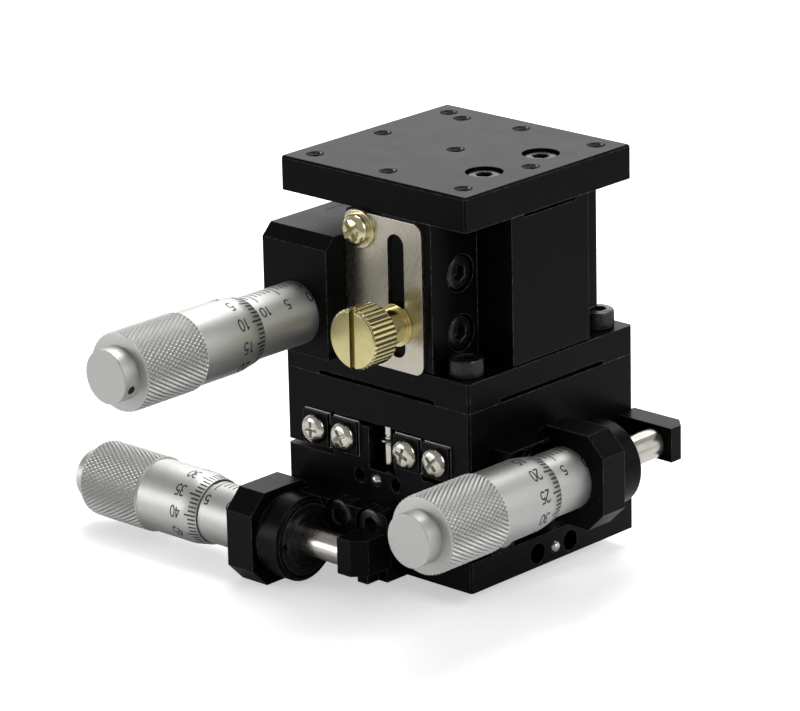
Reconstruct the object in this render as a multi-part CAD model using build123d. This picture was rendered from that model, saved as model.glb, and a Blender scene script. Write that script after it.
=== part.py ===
from build123d import *
import os
from math import cos, pi, sin, sqrt

# A three-axis translation stage for an optical bench. Two crossed-roller slides are stacked
# at right angles, a third stands on edge for the lift, and each is set by a 13 mm
# micrometer head. Everything is in millimetres, +Z is up, and the origin is the centre of
# the base plate's underside. X is the lower slide's travel and Y is the upper slide's.

# ---------------------------------------------------------------- driving dimensions
PLATE = 40.0            # every plate of the stage is a square of this side
HALF = PLATE / 2
EDGE = 0.35             # broken outer edges

BASE_T = 5.2            # base plate
MIDDLE_Z = (6.0, 17.0)  # middle block, from the skirt's foot to the top face
UPPER_Z = (17.8, 30.3)  # upper carriage
ADAPTER_Z = (30.3, 35.2)
LIFT_Z = (35.6, 60.1)   # lifting slab, from foot to head
TOP_T = 5.7             # top plate
HOLE_PITCH = 16.0       # the plates' screw holes stand at this distance from the centre

# Crossed-roller guide of size 2: two rails of 12 x 6 mm together, rollers of 2 mm.
RIB_HALF = 4.0          # half width of the rib that carries the inner rails
RAIL_W = 5.6
RAIL_H = 6.0
RAIL_GAP = 0.8
INNER_RAIL = (RIB_HALF, RIB_HALF + RAIL_W)
OUTER_RAIL = (INNER_RAIL[1] + RAIL_GAP, INNER_RAIL[1] + RAIL_GAP + RAIL_W)
ROLLER_LINE = (INNER_RAIL[1] + OUTER_RAIL[0]) / 2
ROLLER_D = 2.0
ROLLER_L = 1.9
ROLLER_PLAY = 0.02
ROLLER_PITCH = 3.6
CAGE_T = 0.4
WEB_RELIEF = 0.4        # keeps the carriage's web off the inner rails
PAD_HALF = INNER_RAIL[1] + 0.1
LOWER_RAIL_Z = 5.7      # underside of the lower slide's rails
UPPER_RAIL_Z = 18.0
LIFT_RAIL_X = 2.1
SLIDE_LENGTH = PLATE    # rails of full length
BASE_LENGTH = 27.0      # the base's own rails stay short of the Y head's flange at full travel
LIFT_LENGTH = 24.0
LIFT_MID_Z = 47.8

# Return springs lie in a slot along each rib, hooked over two posts.
SLOT_HALF = 1.9
SLOT_DEPTH = 1.6        # below the rails' underside
POST_R = 1.0
POST_AT = 17.0          # distance of each post from the upper slide's centre
BASE_POST_AT = 11.0
LIFT_POST_AT = 9.5
SPRING_R = 1.5
WIRE_R = 0.22

# Micrometer heads, measured along the axis from the face that the sleeve seats on.
SPINDLE_R = 2.5
SLEEVE_R = 5.2
STEM_R = 4.75
RUN = 0.05              # radial clearance of the running fits
SLEEVE_BACK = 21.5      # how far the sleeve reaches back inside the thimble
THIMBLE_R = 6.1
THIMBLE_LIP_R = 5.55
THIMBLE_BORE_R = 5.3
THIMBLE_SMOOTH = 13.3
TAPER = 3.2
GRIP_R = 6.5
GRIP_L = 13.3
GRIP_CHAMFER = 0.5
CAP_R = 4.4
CAP_L = 3.1

# X head: axis along X in front of the -Y side. Y head: axis along Y beside the +X side.
X_AXIS = (-28.1, 5.0)           # y and z of the axis
X_FLANGE = (-19.2, -13.6)
X_BOSS_END = -8.4
X_STOP = 1.9                    # the face that the spindle tip rests on
X_SHOWN = 9.4                   # sleeve length in view at rest
Y_AXIS = (28.1, 17.8)           # x and z of the axis
Y_FLANGE = (-6.0, -0.7)
Y_BOSS_END = 4.5
Y_STOP = 15.6
Y_SHOWN = 7.6
FLANGE_W = 15.2
FLANGE_H = 15.9
FLANGE_CUT = 3.2
BOSS_R = 7.1
NUT_R = 5.9
NUT_T = 1.6
HOLDER_T = 4.4                  # thickness of the holders' side plates
TIP_GAP = 0.02
STEM_PROUD = 0.3

# Lift drive: the Z head pushes a 45 degree wedge under a roller on the lifting slab.
Z_AXIS = (-12.6, 42.0)          # x and z of the axis
BLOCK_X = (-19.6, -5.6)
BLOCK_Y = (-25.0, 20.0)
BLOCK_TOP = 55.5
CHANNEL_X = (-17.1, -8.1)
CHANNEL_Y = (-13.0, 18.0)
CHANNEL_FLOOR = 37.0
Z_SHOWN = 12.6
WEDGE_BACK = -11.5
WEDGE_NOSE = 4.5
WEDGE_TOP = 54.0
WEDGE_FLAT = 1.0
ROLLER_Y = 4.62
FOLLOWER_R = 3.0
FOLLOWER_W = 4.0
FORK_Y = (2.2, 7.0)
FORK_X = (-16.6, -8.6)
FORK_SPLIT_Z = 47.0

SLAB_X = (2.0, 12.5)            # lifting slab, skirts to outer face
BOSS_HALF = 9.25
BODY_X = (-5.6, 1.5)            # standing part of the lift
BODY_TOP = 59.6

CLAMP_T = 0.6
CLAMP_X = (-5.5, 11.0)
CLAMP_Z = (34.8, 59.8)
CLAMP_SLOT = (5.45, 3.5, 37.0, 57.4)   # centre x, width, lowest z, highest z
LOCK_AT = (5.45, 42.5)
KNOB_R = 5.0
KNOB_L = 5.4
KNOB_FLUTES = 36

# Socket cap screws: shank radius at the thread's core, head radius and height, key size
M3 = (1.25, 2.75, 3.0, 2.5)
M25 = (1.05, 2.2, 2.5, 2.0)
M2 = (0.8, 1.75, 1.6, 1.5)
TAPPED_R = 1.25                 # core of an M3 tapped hole
MAJOR_R = 1.55                  # the top plate's M3 holes, at the thread's outside
CLEAR_R = 1.8                   # clearance hole for an M3 screw


# ---------------------------------------------------------------- small shapes
def block(x, y, z):
    """A box between two limits on each axis."""
    size = [b - a for a, b in (x, y, z)]
    centre = [(a + b) / 2 for a, b in (x, y, z)]
    return Pos(*centre) * Box(*size)


def disc(axis, centre, radius, low, high):
    """A cylinder along the named axis, round a centre given by the other two coordinates."""
    body = Cylinder(radius, high - low)
    middle = (low + high) / 2
    if axis == "X":
        return Pos(middle, centre[0], centre[1]) * Rot(0, 90, 0) * body
    if axis == "Y":
        return Pos(centre[0], middle, centre[1]) * Rot(90, 0, 0) * body
    return Pos(centre[0], centre[1], middle) * body


def turned(points):
    """A solid of revolution about local Z from (radius, height) points."""
    return revolve(make_face(Polyline(*[(r, 0, h) for r, h in points], close=True)), Axis.Z)


def both_sides(shape):
    """The shape and its mirror image across the local XZ plane."""
    return [shape, mirror(shape, Plane.XZ)]


def vertical_edges_broken(shape, size=EDGE):
    """Chamfers the four upright corner edges of a plate."""
    corners = shape.edges().filter_by(Axis.Z).group_by(SortBy.DISTANCE)[-1]
    return chamfer(corners, size)


def save(name, *solids):
    """Writes the pieces of one node to its STEP file."""
    flat = []
    for item in solids:
        flat.extend(item if isinstance(item, (list, tuple)) else [item])
    pieces = [solid for shape in flat for solid in shape.solids()]
    export_step(pieces[0] if len(pieces) == 1 else Compound(children=pieces), f"parts/{name}.step")


# ---------------------------------------------------------------- fasteners
def seat(origin, outward):
    """A frame on a surface, with local Z out of it."""
    return Plane(origin=origin, z_dir=outward).location


def cap_screw(place, size, grip, sunk=0.0):
    """Socket cap screw. The underside of its head is sunk below the surface."""
    shank_r, head_r, head_h, key = size
    screw = Pos(0, 0, head_h / 2 - sunk) * Cylinder(head_r, head_h)
    screw += Pos(0, 0, -sunk - grip / 2) * Cylinder(shank_r, grip)
    socket = extrude(RegularPolygon(key / sqrt(3), 6), head_h * 0.55)
    screw -= Pos(0, 0, head_h * 0.45 - sunk) * socket
    return place * screw


def cap_hole(place, size, grip, sunk=0.0):
    """The hole that a cap screw sits in, with a counterbore where its head is sunk."""
    shank_r, head_r, head_h, key = size
    length = grip + 0.4
    hole = Pos(0, 0, -sunk - length / 2) * Cylinder(shank_r + RUN, length)
    if sunk:
        hole += Pos(0, 0, -sunk / 2) * Cylinder(head_r + 0.35, sunk)
    return place * hole


def end_screw(place):
    """Nickel pan screw with a cross recess, in the end of a guide rail."""
    head = turned([(0, 0), (2.45, 0), (2.45, 0.7), (1.9, 1.2), (0, 1.35)])
    for turn in (0, 90):
        head -= Rot(0, 0, turn) * Pos(0, 0, 1.1) * Box(2.5, 0.55, 0.9)
    shank = Pos(0, 0, -1.3) * Cylinder(1.0, 2.6)
    return place * (head + shank)


# ---------------------------------------------------------------- crossed-roller guides
# Each slide is drawn in its own frame: travel along X, across Y, height Z from the rails' underside.
LOWER = Plane(origin=(0, 0, LOWER_RAIL_Z), x_dir=(1, 0, 0), z_dir=(0, 0, 1)).location
UPPER = Plane(origin=(0, 0, UPPER_RAIL_Z), x_dir=(0, 1, 0), z_dir=(0, 0, 1)).location
LIFT = Plane(origin=(LIFT_RAIL_X, 0, LIFT_MID_Z), x_dir=(0, 0, 1), z_dir=(1, 0, 0)).location
PLATE_T = 0.6           # black end plate on each rail
END_HOLE = 2.7


def vee(length):
    """The 90 degree groove that both rails share, as a square bar on its corner."""
    side = ROLLER_D
    return Pos(0, ROLLER_LINE, RAIL_H / 2) * Rot(45, 0, 0) * Box(length + 1, side, side)


def rail_pair(span, length, end_holes=True):
    """The two rails of one kind, each with its groove and the tapped holes for its end screws."""
    rail = block((-length / 2, length / 2), span, (0, RAIL_H)) - vee(length)
    if end_holes:
        middle = sum(span) / 2
        for end in (-1, 1):
            low, high = sorted((end * length / 2, end * (length / 2 - END_HOLE)))
            rail -= disc("X", (middle, RAIL_H / 2), 1.0 + RUN, low, high)
    return both_sides(rail)


def end_plates(span, length):
    """Black square plates on the ends of a pair of rails, each with its screw hole."""
    plates = []
    for end in (-1, 1):
        x = sorted((end * length / 2, end * (length / 2 + PLATE_T)))
        y = (span[0] + 0.1, span[1] - 0.1)
        plate = block(x, y, (0.15, RAIL_H - 0.15))
        plate -= disc("X", (sum(span) / 2, RAIL_H / 2), 1.0 + RUN, x[0], x[1])
        plates += both_sides(plate)
    return plates


def end_screws(span, length):
    """One pan screw in each rail end, through its end plate."""
    screws = []
    for end in (-1, 1):
        for side in (-1, 1):
            at = (end * (length / 2 + PLATE_T), side * sum(span) / 2, RAIL_H / 2)
            screws.append(end_screw(seat(at, (end, 0, 0))))
    return screws


def roller_cages(count):
    """Two flat cages, each holding a row of rollers whose axes cross at 90 degrees in turn."""
    pieces = []
    places = [(index - (count - 1) / 2) * ROLLER_PITCH for index in range(count)]
    length = count * ROLLER_PITCH + 0.4
    cage = Pos(0, ROLLER_LINE, RAIL_H / 2) * Box(length, CAGE_T, 4.4)
    for x in places:
        cage -= Pos(x, ROLLER_LINE, RAIL_H / 2) * Box(2.3, 1, 3.0)
    pieces += both_sides(cage)
    for index, x in enumerate(places):
        lean = 45 if index % 2 else -45
        roller = Cylinder(ROLLER_D / 2 - ROLLER_PLAY, ROLLER_L)
        pieces += both_sides(Pos(x, ROLLER_LINE, RAIL_H / 2) * Rot(lean, 0, 0) * roller)
    return pieces


def rib(length, drop, slot_ends):
    """The raised pad and rib that carry the inner rails, with the slot for the return spring."""
    solid = block((-length / 2, length / 2), (-PAD_HALF, PAD_HALF), (-drop, 0))
    solid += block((-length / 2, length / 2), (-RIB_HALF, RIB_HALF), (0, RAIL_H - 0.5))
    return solid - block(slot_ends, (-SLOT_HALF, SLOT_HALF), (-SLOT_DEPTH, RAIL_H))


def spring_slot(slot_ends):
    """The part of the spring's slot that is cut into the plate under the rib."""
    return block(slot_ends, (-SLOT_HALF, SLOT_HALF), (-SLOT_DEPTH, RAIL_H))


def channel(length, skirt_drop):
    """The space under a carriage's web that holds its rails, with relief over the inner ones."""
    ends = (-length / 2 - 1, length / 2 + 1)
    space = block(ends, (-OUTER_RAIL[1], OUTER_RAIL[1]), (-skirt_drop, RAIL_H))
    return space + block(ends, (-PAD_HALF - 0.4, PAD_HALF + 0.4), (0, RAIL_H + WEB_RELIEF))


def spring_post(x, low, high):
    """A nickel pin with two grooves near its free end for the spring's hook."""
    pin = Pos(x, 0, (low + high) / 2) * Cylinder(POST_R, high - low)
    for level in (RAIL_H / 2 - 0.45, RAIL_H / 2 + 0.85):
        ring = Cylinder(POST_R + 0.2, 0.4) - Cylinder(POST_R - 0.2, 0.4)
        pin -= Pos(x, 0, level) * ring
    return pin


def return_spring(reach):
    """Close-wound extension spring: its round body and a hooked loop at each end."""
    loop_r = POST_R + WIRE_R + 0.15
    half = reach - loop_r - WIRE_R * 2
    axis_at = (0, RAIL_H / 2)
    spring = disc("X", axis_at, SPRING_R, -half, half)
    loop_t = 2 * WIRE_R + 0.1
    for end in (-1, 1):
        loop = Cylinder(loop_r + WIRE_R, loop_t) - Cylinder(loop_r - WIRE_R, loop_t)
        neck = sorted((end * (half - 0.2), end * (reach - loop_r)))
        spring += Pos(end * reach, 0, RAIL_H / 2) * loop
        spring += disc("X", axis_at, WIRE_R, *neck)
    return spring


# ---------------------------------------------------------------- micrometer heads
# Drawn in a frame whose Z runs from thimble to tip, with Z = 0 on the seating face.
X_HEAD = Plane((X_FLANGE[0], X_AXIS[0], X_AXIS[1]), x_dir=(0, 0, 1), z_dir=(1, 0, 0)).location
Y_HEAD = Plane((Y_AXIS[0], Y_FLANGE[0], Y_AXIS[1]), x_dir=(0, 0, 1), z_dir=(0, 1, 0)).location
Z_HEAD = Plane((Z_AXIS[0], BLOCK_Y[0], Z_AXIS[1]), x_dir=(0, 0, 1), z_dir=(0, 1, 0)).location


def sleeve(stem):
    """Graduated sleeve and the stem that its nut or block holds, bored for the spindle."""
    bore = SPINDLE_R + RUN
    outline = [(bore, -SLEEVE_BACK), (SLEEVE_R, -SLEEVE_BACK), (SLEEVE_R, 0), (STEM_R, 0)]
    outline += [(STEM_R, stem - 0.3), (STEM_R - 0.3, stem), (bore, stem)]
    return turned(outline)


def thimble(shown):
    """Thimble: bevelled lip, smooth barrel and wider grip, bored to run over the sleeve."""
    lip = -shown
    smooth = lip - THIMBLE_SMOOTH
    back = smooth - GRIP_L
    wall = 2.0
    outline = [(THIMBLE_BORE_R, lip), (THIMBLE_LIP_R, lip), (THIMBLE_R, lip - TAPER)]
    outline += [(THIMBLE_R, smooth), (GRIP_R - GRIP_CHAMFER, smooth)]
    outline += [(GRIP_R, smooth - GRIP_CHAMFER), (GRIP_R, back + GRIP_CHAMFER)]
    outline += [(GRIP_R - GRIP_CHAMFER, back), (SPINDLE_R + RUN, back)]
    outline += [(SPINDLE_R + RUN, back + wall), (THIMBLE_BORE_R, back + wall)]
    return turned(outline)


def spindle(shown, tip):
    """Ground spindle from the thimble's end wall to its bevelled tip."""
    back = -shown - THIMBLE_SMOOTH - GRIP_L
    outline = [(0, back), (SPINDLE_R, back), (SPINDLE_R, tip - 0.4), (SPINDLE_R - 0.4, tip)]
    return turned(outline + [(0, tip)])


def end_cap(shown):
    """Cap that screws on the spindle's end and carries a small set screw hole in its rim."""
    front = -shown - THIMBLE_SMOOTH - GRIP_L
    back = front - CAP_L
    cap = turned([(0, back), (CAP_R - 0.4, back), (CAP_R, back + 0.4), (CAP_R, front), (0, front)])
    return cap - Pos(0, CAP_R - 0.6, back + CAP_L * 0.55) * Rot(90, 0, 0) * Cylinder(0.55, 2)


def head(name, place, shown, stem, tip):
    """Writes the four nodes of one micrometer head."""
    save(f"{name}_mic_sleeve", place * sleeve(stem))
    save(f"{name}_thimble", place * thimble(shown))
    save(f"{name}_spindle", place * spindle(shown, tip - TIP_GAP))
    save(f"{name}_end_cap", place * end_cap(shown))


def flange_and_boss(thickness, boss_end):
    """Octagonal flange and round boss of a holder, bored for the stem and recessed for its nut."""
    outline = chamfer(Rectangle(FLANGE_H, FLANGE_W).vertices(), FLANGE_CUT)
    solid = extrude(outline, thickness)
    neck = BOSS_R - 0.5
    profile = [(0, 0), (neck, 0), (neck, thickness + 0.7), (BOSS_R, thickness + 0.7)]
    profile += [(BOSS_R, boss_end - 0.5), (BOSS_R - 0.5, boss_end), (0, boss_end)]
    return solid + turned(profile)


def holder_bore(boss_end):
    """The bore for the stem and the recess for the nut, to be cut from a whole holder."""
    bore = STEM_R + RUN
    return turned([(0, -1), (bore, -1), (bore, boss_end - NUT_T), (NUT_R + RUN, boss_end - NUT_T),
                   (NUT_R + RUN, boss_end + 1), (0, boss_end + 1)])


def stem_nut(boss_end):
    """Slim ring nut on the stem, sunk in the boss, with two slots for its key."""
    bore = STEM_R + RUN
    low = boss_end - NUT_T
    nut = turned([(bore, low), (NUT_R, low), (NUT_R, boss_end), (bore, boss_end)])
    return nut - Pos(0, 0, boss_end) * Box(1.2, 2 * NUT_R + 1, 1.0)


os.makedirs("parts", exist_ok=True)

# ---------------------------------------------------------------- base and lower slide
SLOT_LOWER = (-HALF - 1, BASE_POST_AT + 2.0)
SIDE_HOLES = 4.0        # the pair of tapped holes in a plate's side
BASE_HOLE_Z = 2.3
SIDE_HOLE_R = 1.75
BALL_R = 1.1            # a steel ball closes the bore between each pair
BALL_OFF = 0.4
BALL_SEAT = 1.6

base = vertical_edges_broken(Pos(0, 0, BASE_T / 2) * Box(PLATE, PLATE, BASE_T))
base += LOWER * rib(BASE_LENGTH, LOWER_RAIL_Z - BASE_T, SLOT_LOWER)
base -= LOWER * spring_slot(SLOT_LOWER)
for x in (-HOLE_PITCH, HOLE_PITCH):
    for y in (-HOLE_PITCH, HOLE_PITCH):
        base -= disc("Z", (x, y), CLEAR_R, 0, BASE_T)
        base -= disc("Z", (x, y), 3.1, BASE_T - 3.2, BASE_T)
for y in (-SIDE_HOLES, SIDE_HOLES):
    base -= disc("X", (y, BASE_HOLE_Z), SIDE_HOLE_R, HALF - 5.0, HALF)
base -= disc("X", (BALL_OFF, BASE_HOLE_Z), BALL_R, HALF - BALL_SEAT, HALF)
base -= LOWER * Pos(BASE_POST_AT, 0, -3.0) * Cylinder(POST_R + 0.02, 3.0)

# The X head's stop: a foot on the base's front side, and a bar in front of the moving holder.
STOP_FOOT_X = (-1.9, 6.0)
STOP_Z = (2.8, 8.9)
STOP_BAR_X = (X_STOP, 6.8)
STOP_END_Y = -32.0
GUSSET = (4.1, -27.4)
BAR_ROOT = 0.35         # the bar stands this far in front of the holder's plate
FRONT = -HALF - HOLDER_T
stop = block((STOP_BAR_X[0], STOP_BAR_X[1]), (STOP_END_Y, FRONT - BAR_ROOT), STOP_Z)
outer_corner = stop.edges().filter_by(Axis.Z).sort_by(Axis.Y)[0:2].sort_by(Axis.X)[-1]
stop = chamfer(outer_corner, 2.1)
stop += block(STOP_FOOT_X, (FRONT, -HALF), (0, BASE_T))
stop += block((STOP_BAR_X[0], STOP_FOOT_X[1]), (FRONT - BAR_ROOT, FRONT), (0, BASE_T))
stop += block((STOP_BAR_X[0], GUSSET[0]), (GUSSET[1], FRONT), (0, STOP_Z[0]))
place = seat((0, FRONT, 2.6), (0, -1, 0))
stop -= cap_hole(place, M2, 7.0, 1.8)
base -= cap_hole(place, M2, 7.0, 1.8)
stop_screw = cap_screw(place, M2, 7.0, 1.8)

save("base_plate", base)
save("base_ball", Pos(HALF - BALL_OFF, BALL_OFF, BASE_HOLE_Z) * Sphere(BALL_R - 0.1))
save("base_rails", LOWER * Compound(children=rail_pair(INNER_RAIL, BASE_LENGTH)))
save("base_end_plates", LOWER * Compound(children=end_plates(INNER_RAIL, BASE_LENGTH)))
save("base_end_screws", LOWER * Compound(children=end_screws(INNER_RAIL, BASE_LENGTH)))
save("base_spring_post", LOWER * spring_post(BASE_POST_AT, -4.4, RAIL_H - 0.6))
save("x_stop_arm", stop)
save("x_stop_screw", stop_screw)
save("lower_spring", LOWER * return_spring(BASE_POST_AT))
save("lower_roller_cages", LOWER * Compound(children=roller_cages(5)))

# ---------------------------------------------------------------- middle block
middle = vertical_edges_broken(block((-HALF, HALF), (-HALF, HALF), MIDDLE_Z))
middle -= LOWER * channel(PLATE, 1.0)
SLOT_UPPER = (-HALF - 1, POST_AT + 2.0)
middle += UPPER * rib(SLIDE_LENGTH, UPPER_RAIL_Z - MIDDLE_Z[1], SLOT_UPPER)
middle -= UPPER * spring_slot(SLOT_UPPER)
middle -= UPPER * Pos(POST_AT, 0, -3.4) * Cylinder(POST_R + 0.02, 3.8)
POST_SOCKET = 1.6
middle -= LOWER * Pos(-BASE_POST_AT, 0, RAIL_H + POST_SOCKET / 2) * Cylinder(POST_R + 0.02, POST_SOCKET)
SIDE_HOLE_Z = 14.8
for x in (-SIDE_HOLES, SIDE_HOLES):
    middle -= disc("Y", (x, SIDE_HOLE_Z), TAPPED_R, -HALF, -HALF + 4.0)
middle -= disc("Y", (-BALL_OFF, SIDE_HOLE_Z), BALL_R, -HALF, -HALF + BALL_SEAT)

# Holder of the X head: octagonal flange and a side plate on the block's front skirt.
PLATE_Z = (5.6, 11.2)
X_PLATE_END = 5.8
x_bolts = (-5.0, 2.0)
x_boss = X_BOSS_END - X_FLANGE[0]
x_holder = block((X_FLANGE[0], X_PLATE_END), (FRONT, -HALF), PLATE_Z)
top_corner = x_holder.edges().filter_by(Axis.Y).sort_by(Axis.X)[-2:].sort_by(Axis.Z)[-1]
x_holder = fillet(top_corner, 0.8)
x_holder += X_HEAD * flange_and_boss(X_FLANGE[1] - X_FLANGE[0], x_boss)
x_holder -= X_HEAD * holder_bore(x_boss)
black_screws = []
for x in x_bolts:
    place = seat((x, FRONT, 8.7), (0, -1, 0))
    x_holder -= cap_hole(place, M3, 4.4, 3.2)
    middle -= cap_hole(place, M3, 4.4, 3.2)
    black_screws.append(cap_screw(place, M3, 4.4, 3.2))

# Stop of the Y head: a bar on the block's rear corner, let in flush with the top.
TONGUE = block((12.0, HALF), (Y_STOP, HALF), (12.2, MIDDLE_Z[1]))
BAR_Z = (15.2, 21.0)
BAR_END = 31.9
middle -= TONGUE
y_stop = TONGUE + block((HALF, HALF + 1.0), (Y_STOP, HALF), (BAR_Z[0], MIDDLE_Z[1]))
y_stop += block((HALF + 0.35, BAR_END), (Y_STOP, HALF), BAR_Z)
bar_corner = y_stop.edges().filter_by(Axis.Z).sort_by(Axis.X)[-2:].sort_by(Axis.Y)[-1]
y_stop = chamfer(bar_corner, 2.0)
place = seat((15.6, HALF, 14.6), (0, 1, 0))
y_stop -= cap_hole(place, M25, 6.0, 2.6)
middle -= cap_hole(place, M25, 6.0, 2.6)
small_screw = cap_screw(place, M25, 6.0, 2.6)

save("middle_block", middle)
save("middle_ball", Pos(-BALL_OFF, -HALF + BALL_OFF, SIDE_HOLE_Z) * Sphere(BALL_R - 0.1))
save("middle_rails", LOWER * Compound(children=rail_pair(OUTER_RAIL, SLIDE_LENGTH)),
     UPPER * Compound(children=rail_pair(INNER_RAIL, SLIDE_LENGTH)))
save("middle_end_plates", LOWER * Compound(children=end_plates(OUTER_RAIL, SLIDE_LENGTH)),
     UPPER * Compound(children=end_plates(INNER_RAIL, SLIDE_LENGTH)))
save("middle_end_screws", LOWER * Compound(children=end_screws(OUTER_RAIL, SLIDE_LENGTH)),
     UPPER * Compound(children=end_screws(INNER_RAIL, SLIDE_LENGTH)))
save("middle_spring_posts", LOWER * spring_post(-BASE_POST_AT, -1.0, RAIL_H + POST_SOCKET),
     UPPER * spring_post(POST_AT, -5.2, RAIL_H - 0.6))
save("x_mic_holder", x_holder)
save("x_mic_nut", X_HEAD * stem_nut(x_boss))
save("y_stop_arm", y_stop)
save("middle_cap_screws", black_screws, small_screw)
save("upper_spring", UPPER * return_spring(POST_AT))
save("upper_roller_cages", UPPER * Compound(children=roller_cages(7)))
head("x", X_HEAD, X_SHOWN, x_boss + STEM_PROUD, X_STOP - X_FLANGE[0])

# ---------------------------------------------------------------- upper carriage and adapter
upper = vertical_edges_broken(block((-HALF, HALF), (-HALF, HALF), UPPER_Z))
upper -= UPPER * channel(PLATE, 1.0)
upper -= UPPER * Pos(-POST_AT, 0, RAIL_H + POST_SOCKET / 2) * Cylinder(POST_R + 0.02, POST_SOCKET)

# Holder of the Y head, with its side plate behind the thimble.
Y_PLATE = (-15.3, Y_FLANGE[1])
Y_PLATE_Z = (17.9, 23.6)
SCALLOP_R = 6.5         # room for the thimble beside the plate
Y_BOLT_SUNK = 4.0
SIDE = HALF + HOLDER_T
y_boss = Y_BOSS_END - Y_FLANGE[0]
y_holder = block((HALF, SIDE), Y_PLATE, Y_PLATE_Z)
y_holder -= disc("Y", Y_AXIS, SCALLOP_R, Y_PLATE[0], Y_FLANGE[0])
y_holder += Y_HEAD * flange_and_boss(Y_FLANGE[1] - Y_FLANGE[0], y_boss)
y_holder -= Y_HEAD * holder_bore(y_boss)
upper_screws = []
for y in (-13.0, -8.6):
    place = seat((SIDE, y, 21.4), (1, 0, 0))
    y_holder -= cap_hole(place, M2, 4.0, Y_BOLT_SUNK)
    upper -= cap_hole(place, M2, 4.0, Y_BOLT_SUNK)
    upper_screws.append(cap_screw(place, M2, 4.0, Y_BOLT_SUNK))

RELIEF_HALF = 12.6
RELIEF_H = 0.7
adapter = vertical_edges_broken(block((-HALF, HALF), (-HALF, HALF), ADAPTER_Z))
adapter -= block((-HALF, HALF), (-RELIEF_HALF, RELIEF_HALF), (ADAPTER_Z[0], ADAPTER_Z[0] + RELIEF_H))
adapter -= block((-RELIEF_HALF, RELIEF_HALF), (-HALF, HALF), (ADAPTER_Z[0], ADAPTER_Z[0] + RELIEF_H))
for x in (-HOLE_PITCH, HOLE_PITCH):
    for y in (-HOLE_PITCH, HOLE_PITCH):
        sunk = 3.2 if x < 0 else 0.0
        place = seat((x, y, ADAPTER_Z[1]), (0, 0, 1))
        grip = 8.5 - sunk
        adapter -= cap_hole(place, M3, grip, sunk)
        upper -= cap_hole(place, M3, grip, sunk)
        upper_screws.append(cap_screw(place, M3, grip, sunk))

# ---------------------------------------------------------------- lift: standing part
SLOT_LIFT = (-LIFT_POST_AT - 2.0, LIFT_LENGTH / 2 + 1)
body = block(BODY_X, (-HALF, HALF), (ADAPTER_Z[1], BODY_TOP))
body += LIFT * rib(LIFT_LENGTH, LIFT_RAIL_X - BODY_X[1], SLOT_LIFT)
body -= LIFT * spring_slot(SLOT_LIFT)
body -= LIFT * Pos(-LIFT_POST_AT, 0, -3.0) * Cylinder(POST_R + 0.02, 3.0)

mic_block = block(BLOCK_X, BLOCK_Y, (ADAPTER_Z[1], BLOCK_TOP))
front_top = mic_block.edges().filter_by(Axis.X).sort_by(Axis.Y)[0:2].sort_by(Axis.Z)[-1]
mic_block = chamfer(front_top, 2.0)
mic_block -= block(CHANNEL_X, CHANNEL_Y, (CHANNEL_FLOOR, BLOCK_TOP))
mic_block -= disc("Y", Z_AXIS, STEM_R + RUN, BLOCK_Y[0], CHANNEL_Y[0])
for z in (38.0, 51.0):
    place = seat((BODY_X[1], -17.0, z), (1, 0, 0))
    body -= cap_hole(place, M3, 6.6, 3.2)
    mic_block -= cap_hole(place, M3, 6.6, 3.2)
    upper_screws.append(cap_screw(place, M3, 6.6, 3.2))

# Clamp plate: thin stainless plate fixed to the standing part, slotted for the lock screw.
slot_x, slot_w, slot_low, slot_high = CLAMP_SLOT
CLAMP_SCREW = (-2.1, 57.0)
plate_face = Pos(sum(CLAMP_X) / 2, sum(CLAMP_Z) / 2) * RectangleRounded(
    CLAMP_X[1] - CLAMP_X[0], CLAMP_Z[1] - CLAMP_Z[0], 1.8)
slot_face = Pos(slot_x, (slot_low + slot_high) / 2) * SlotOverall(slot_high - slot_low, slot_w, 90)
clamp = extrude(plate_face - slot_face, CLAMP_T)
clamp = Plane((0, -HALF, 0), x_dir=(1, 0, 0), z_dir=(0, -1, 0)).location * clamp
clamp -= disc("Y", CLAMP_SCREW, 1.5 + RUN, -HALF - CLAMP_T, -HALF)
body -= disc("Y", CLAMP_SCREW, 1.5 + RUN, -HALF, -HALF + 6.0)
zinc = turned([(0, 0), (3.2, 0), (3.2, 0.5), (2.6, 0.5), (2.6, 1.5), (2.0, 2.1), (0, 2.3)])
for turn in (45, 135):
    zinc -= Rot(0, 0, turn) * Pos(0, 0, 2.0) * Box(3.0, 0.7, 1.2)
zinc += Pos(0, 0, -3.0) * Cylinder(1.5, 6.0)
zinc = seat((CLAMP_SCREW[0], -HALF - CLAMP_T, CLAMP_SCREW[1]), (0, -1, 0)) * zinc

save("upper_carriage", upper)
save("upper_rails", UPPER * Compound(children=rail_pair(OUTER_RAIL, SLIDE_LENGTH)),
     LIFT * Compound(children=rail_pair(INNER_RAIL, LIFT_LENGTH, end_holes=False)))
save("upper_end_plates", UPPER * Compound(children=end_plates(OUTER_RAIL, SLIDE_LENGTH)))
save("upper_end_screws", UPPER * Compound(children=end_screws(OUTER_RAIL, SLIDE_LENGTH)))
save("upper_spring_posts", UPPER * spring_post(-POST_AT, -1.0, RAIL_H + POST_SOCKET),
     LIFT * spring_post(-LIFT_POST_AT, -4.4, RAIL_H - 0.6))
save("y_mic_holder", y_holder)
save("y_mic_nut", Y_HEAD * stem_nut(y_boss))
save("adapter_plate", adapter)
save("lift_body", body)
save("z_mic_block", mic_block)
save("upper_cap_screws", upper_screws)
save("clamp_plate", clamp)
save("clamp_screw", zinc)
save("lift_spring", LIFT * return_spring(LIFT_POST_AT))
save("lift_roller_cages", LIFT * Compound(children=roller_cages(3)))
head("y", Y_HEAD, Y_SHOWN, y_boss + STEM_PROUD, Y_STOP - Y_FLANGE[0])

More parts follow.
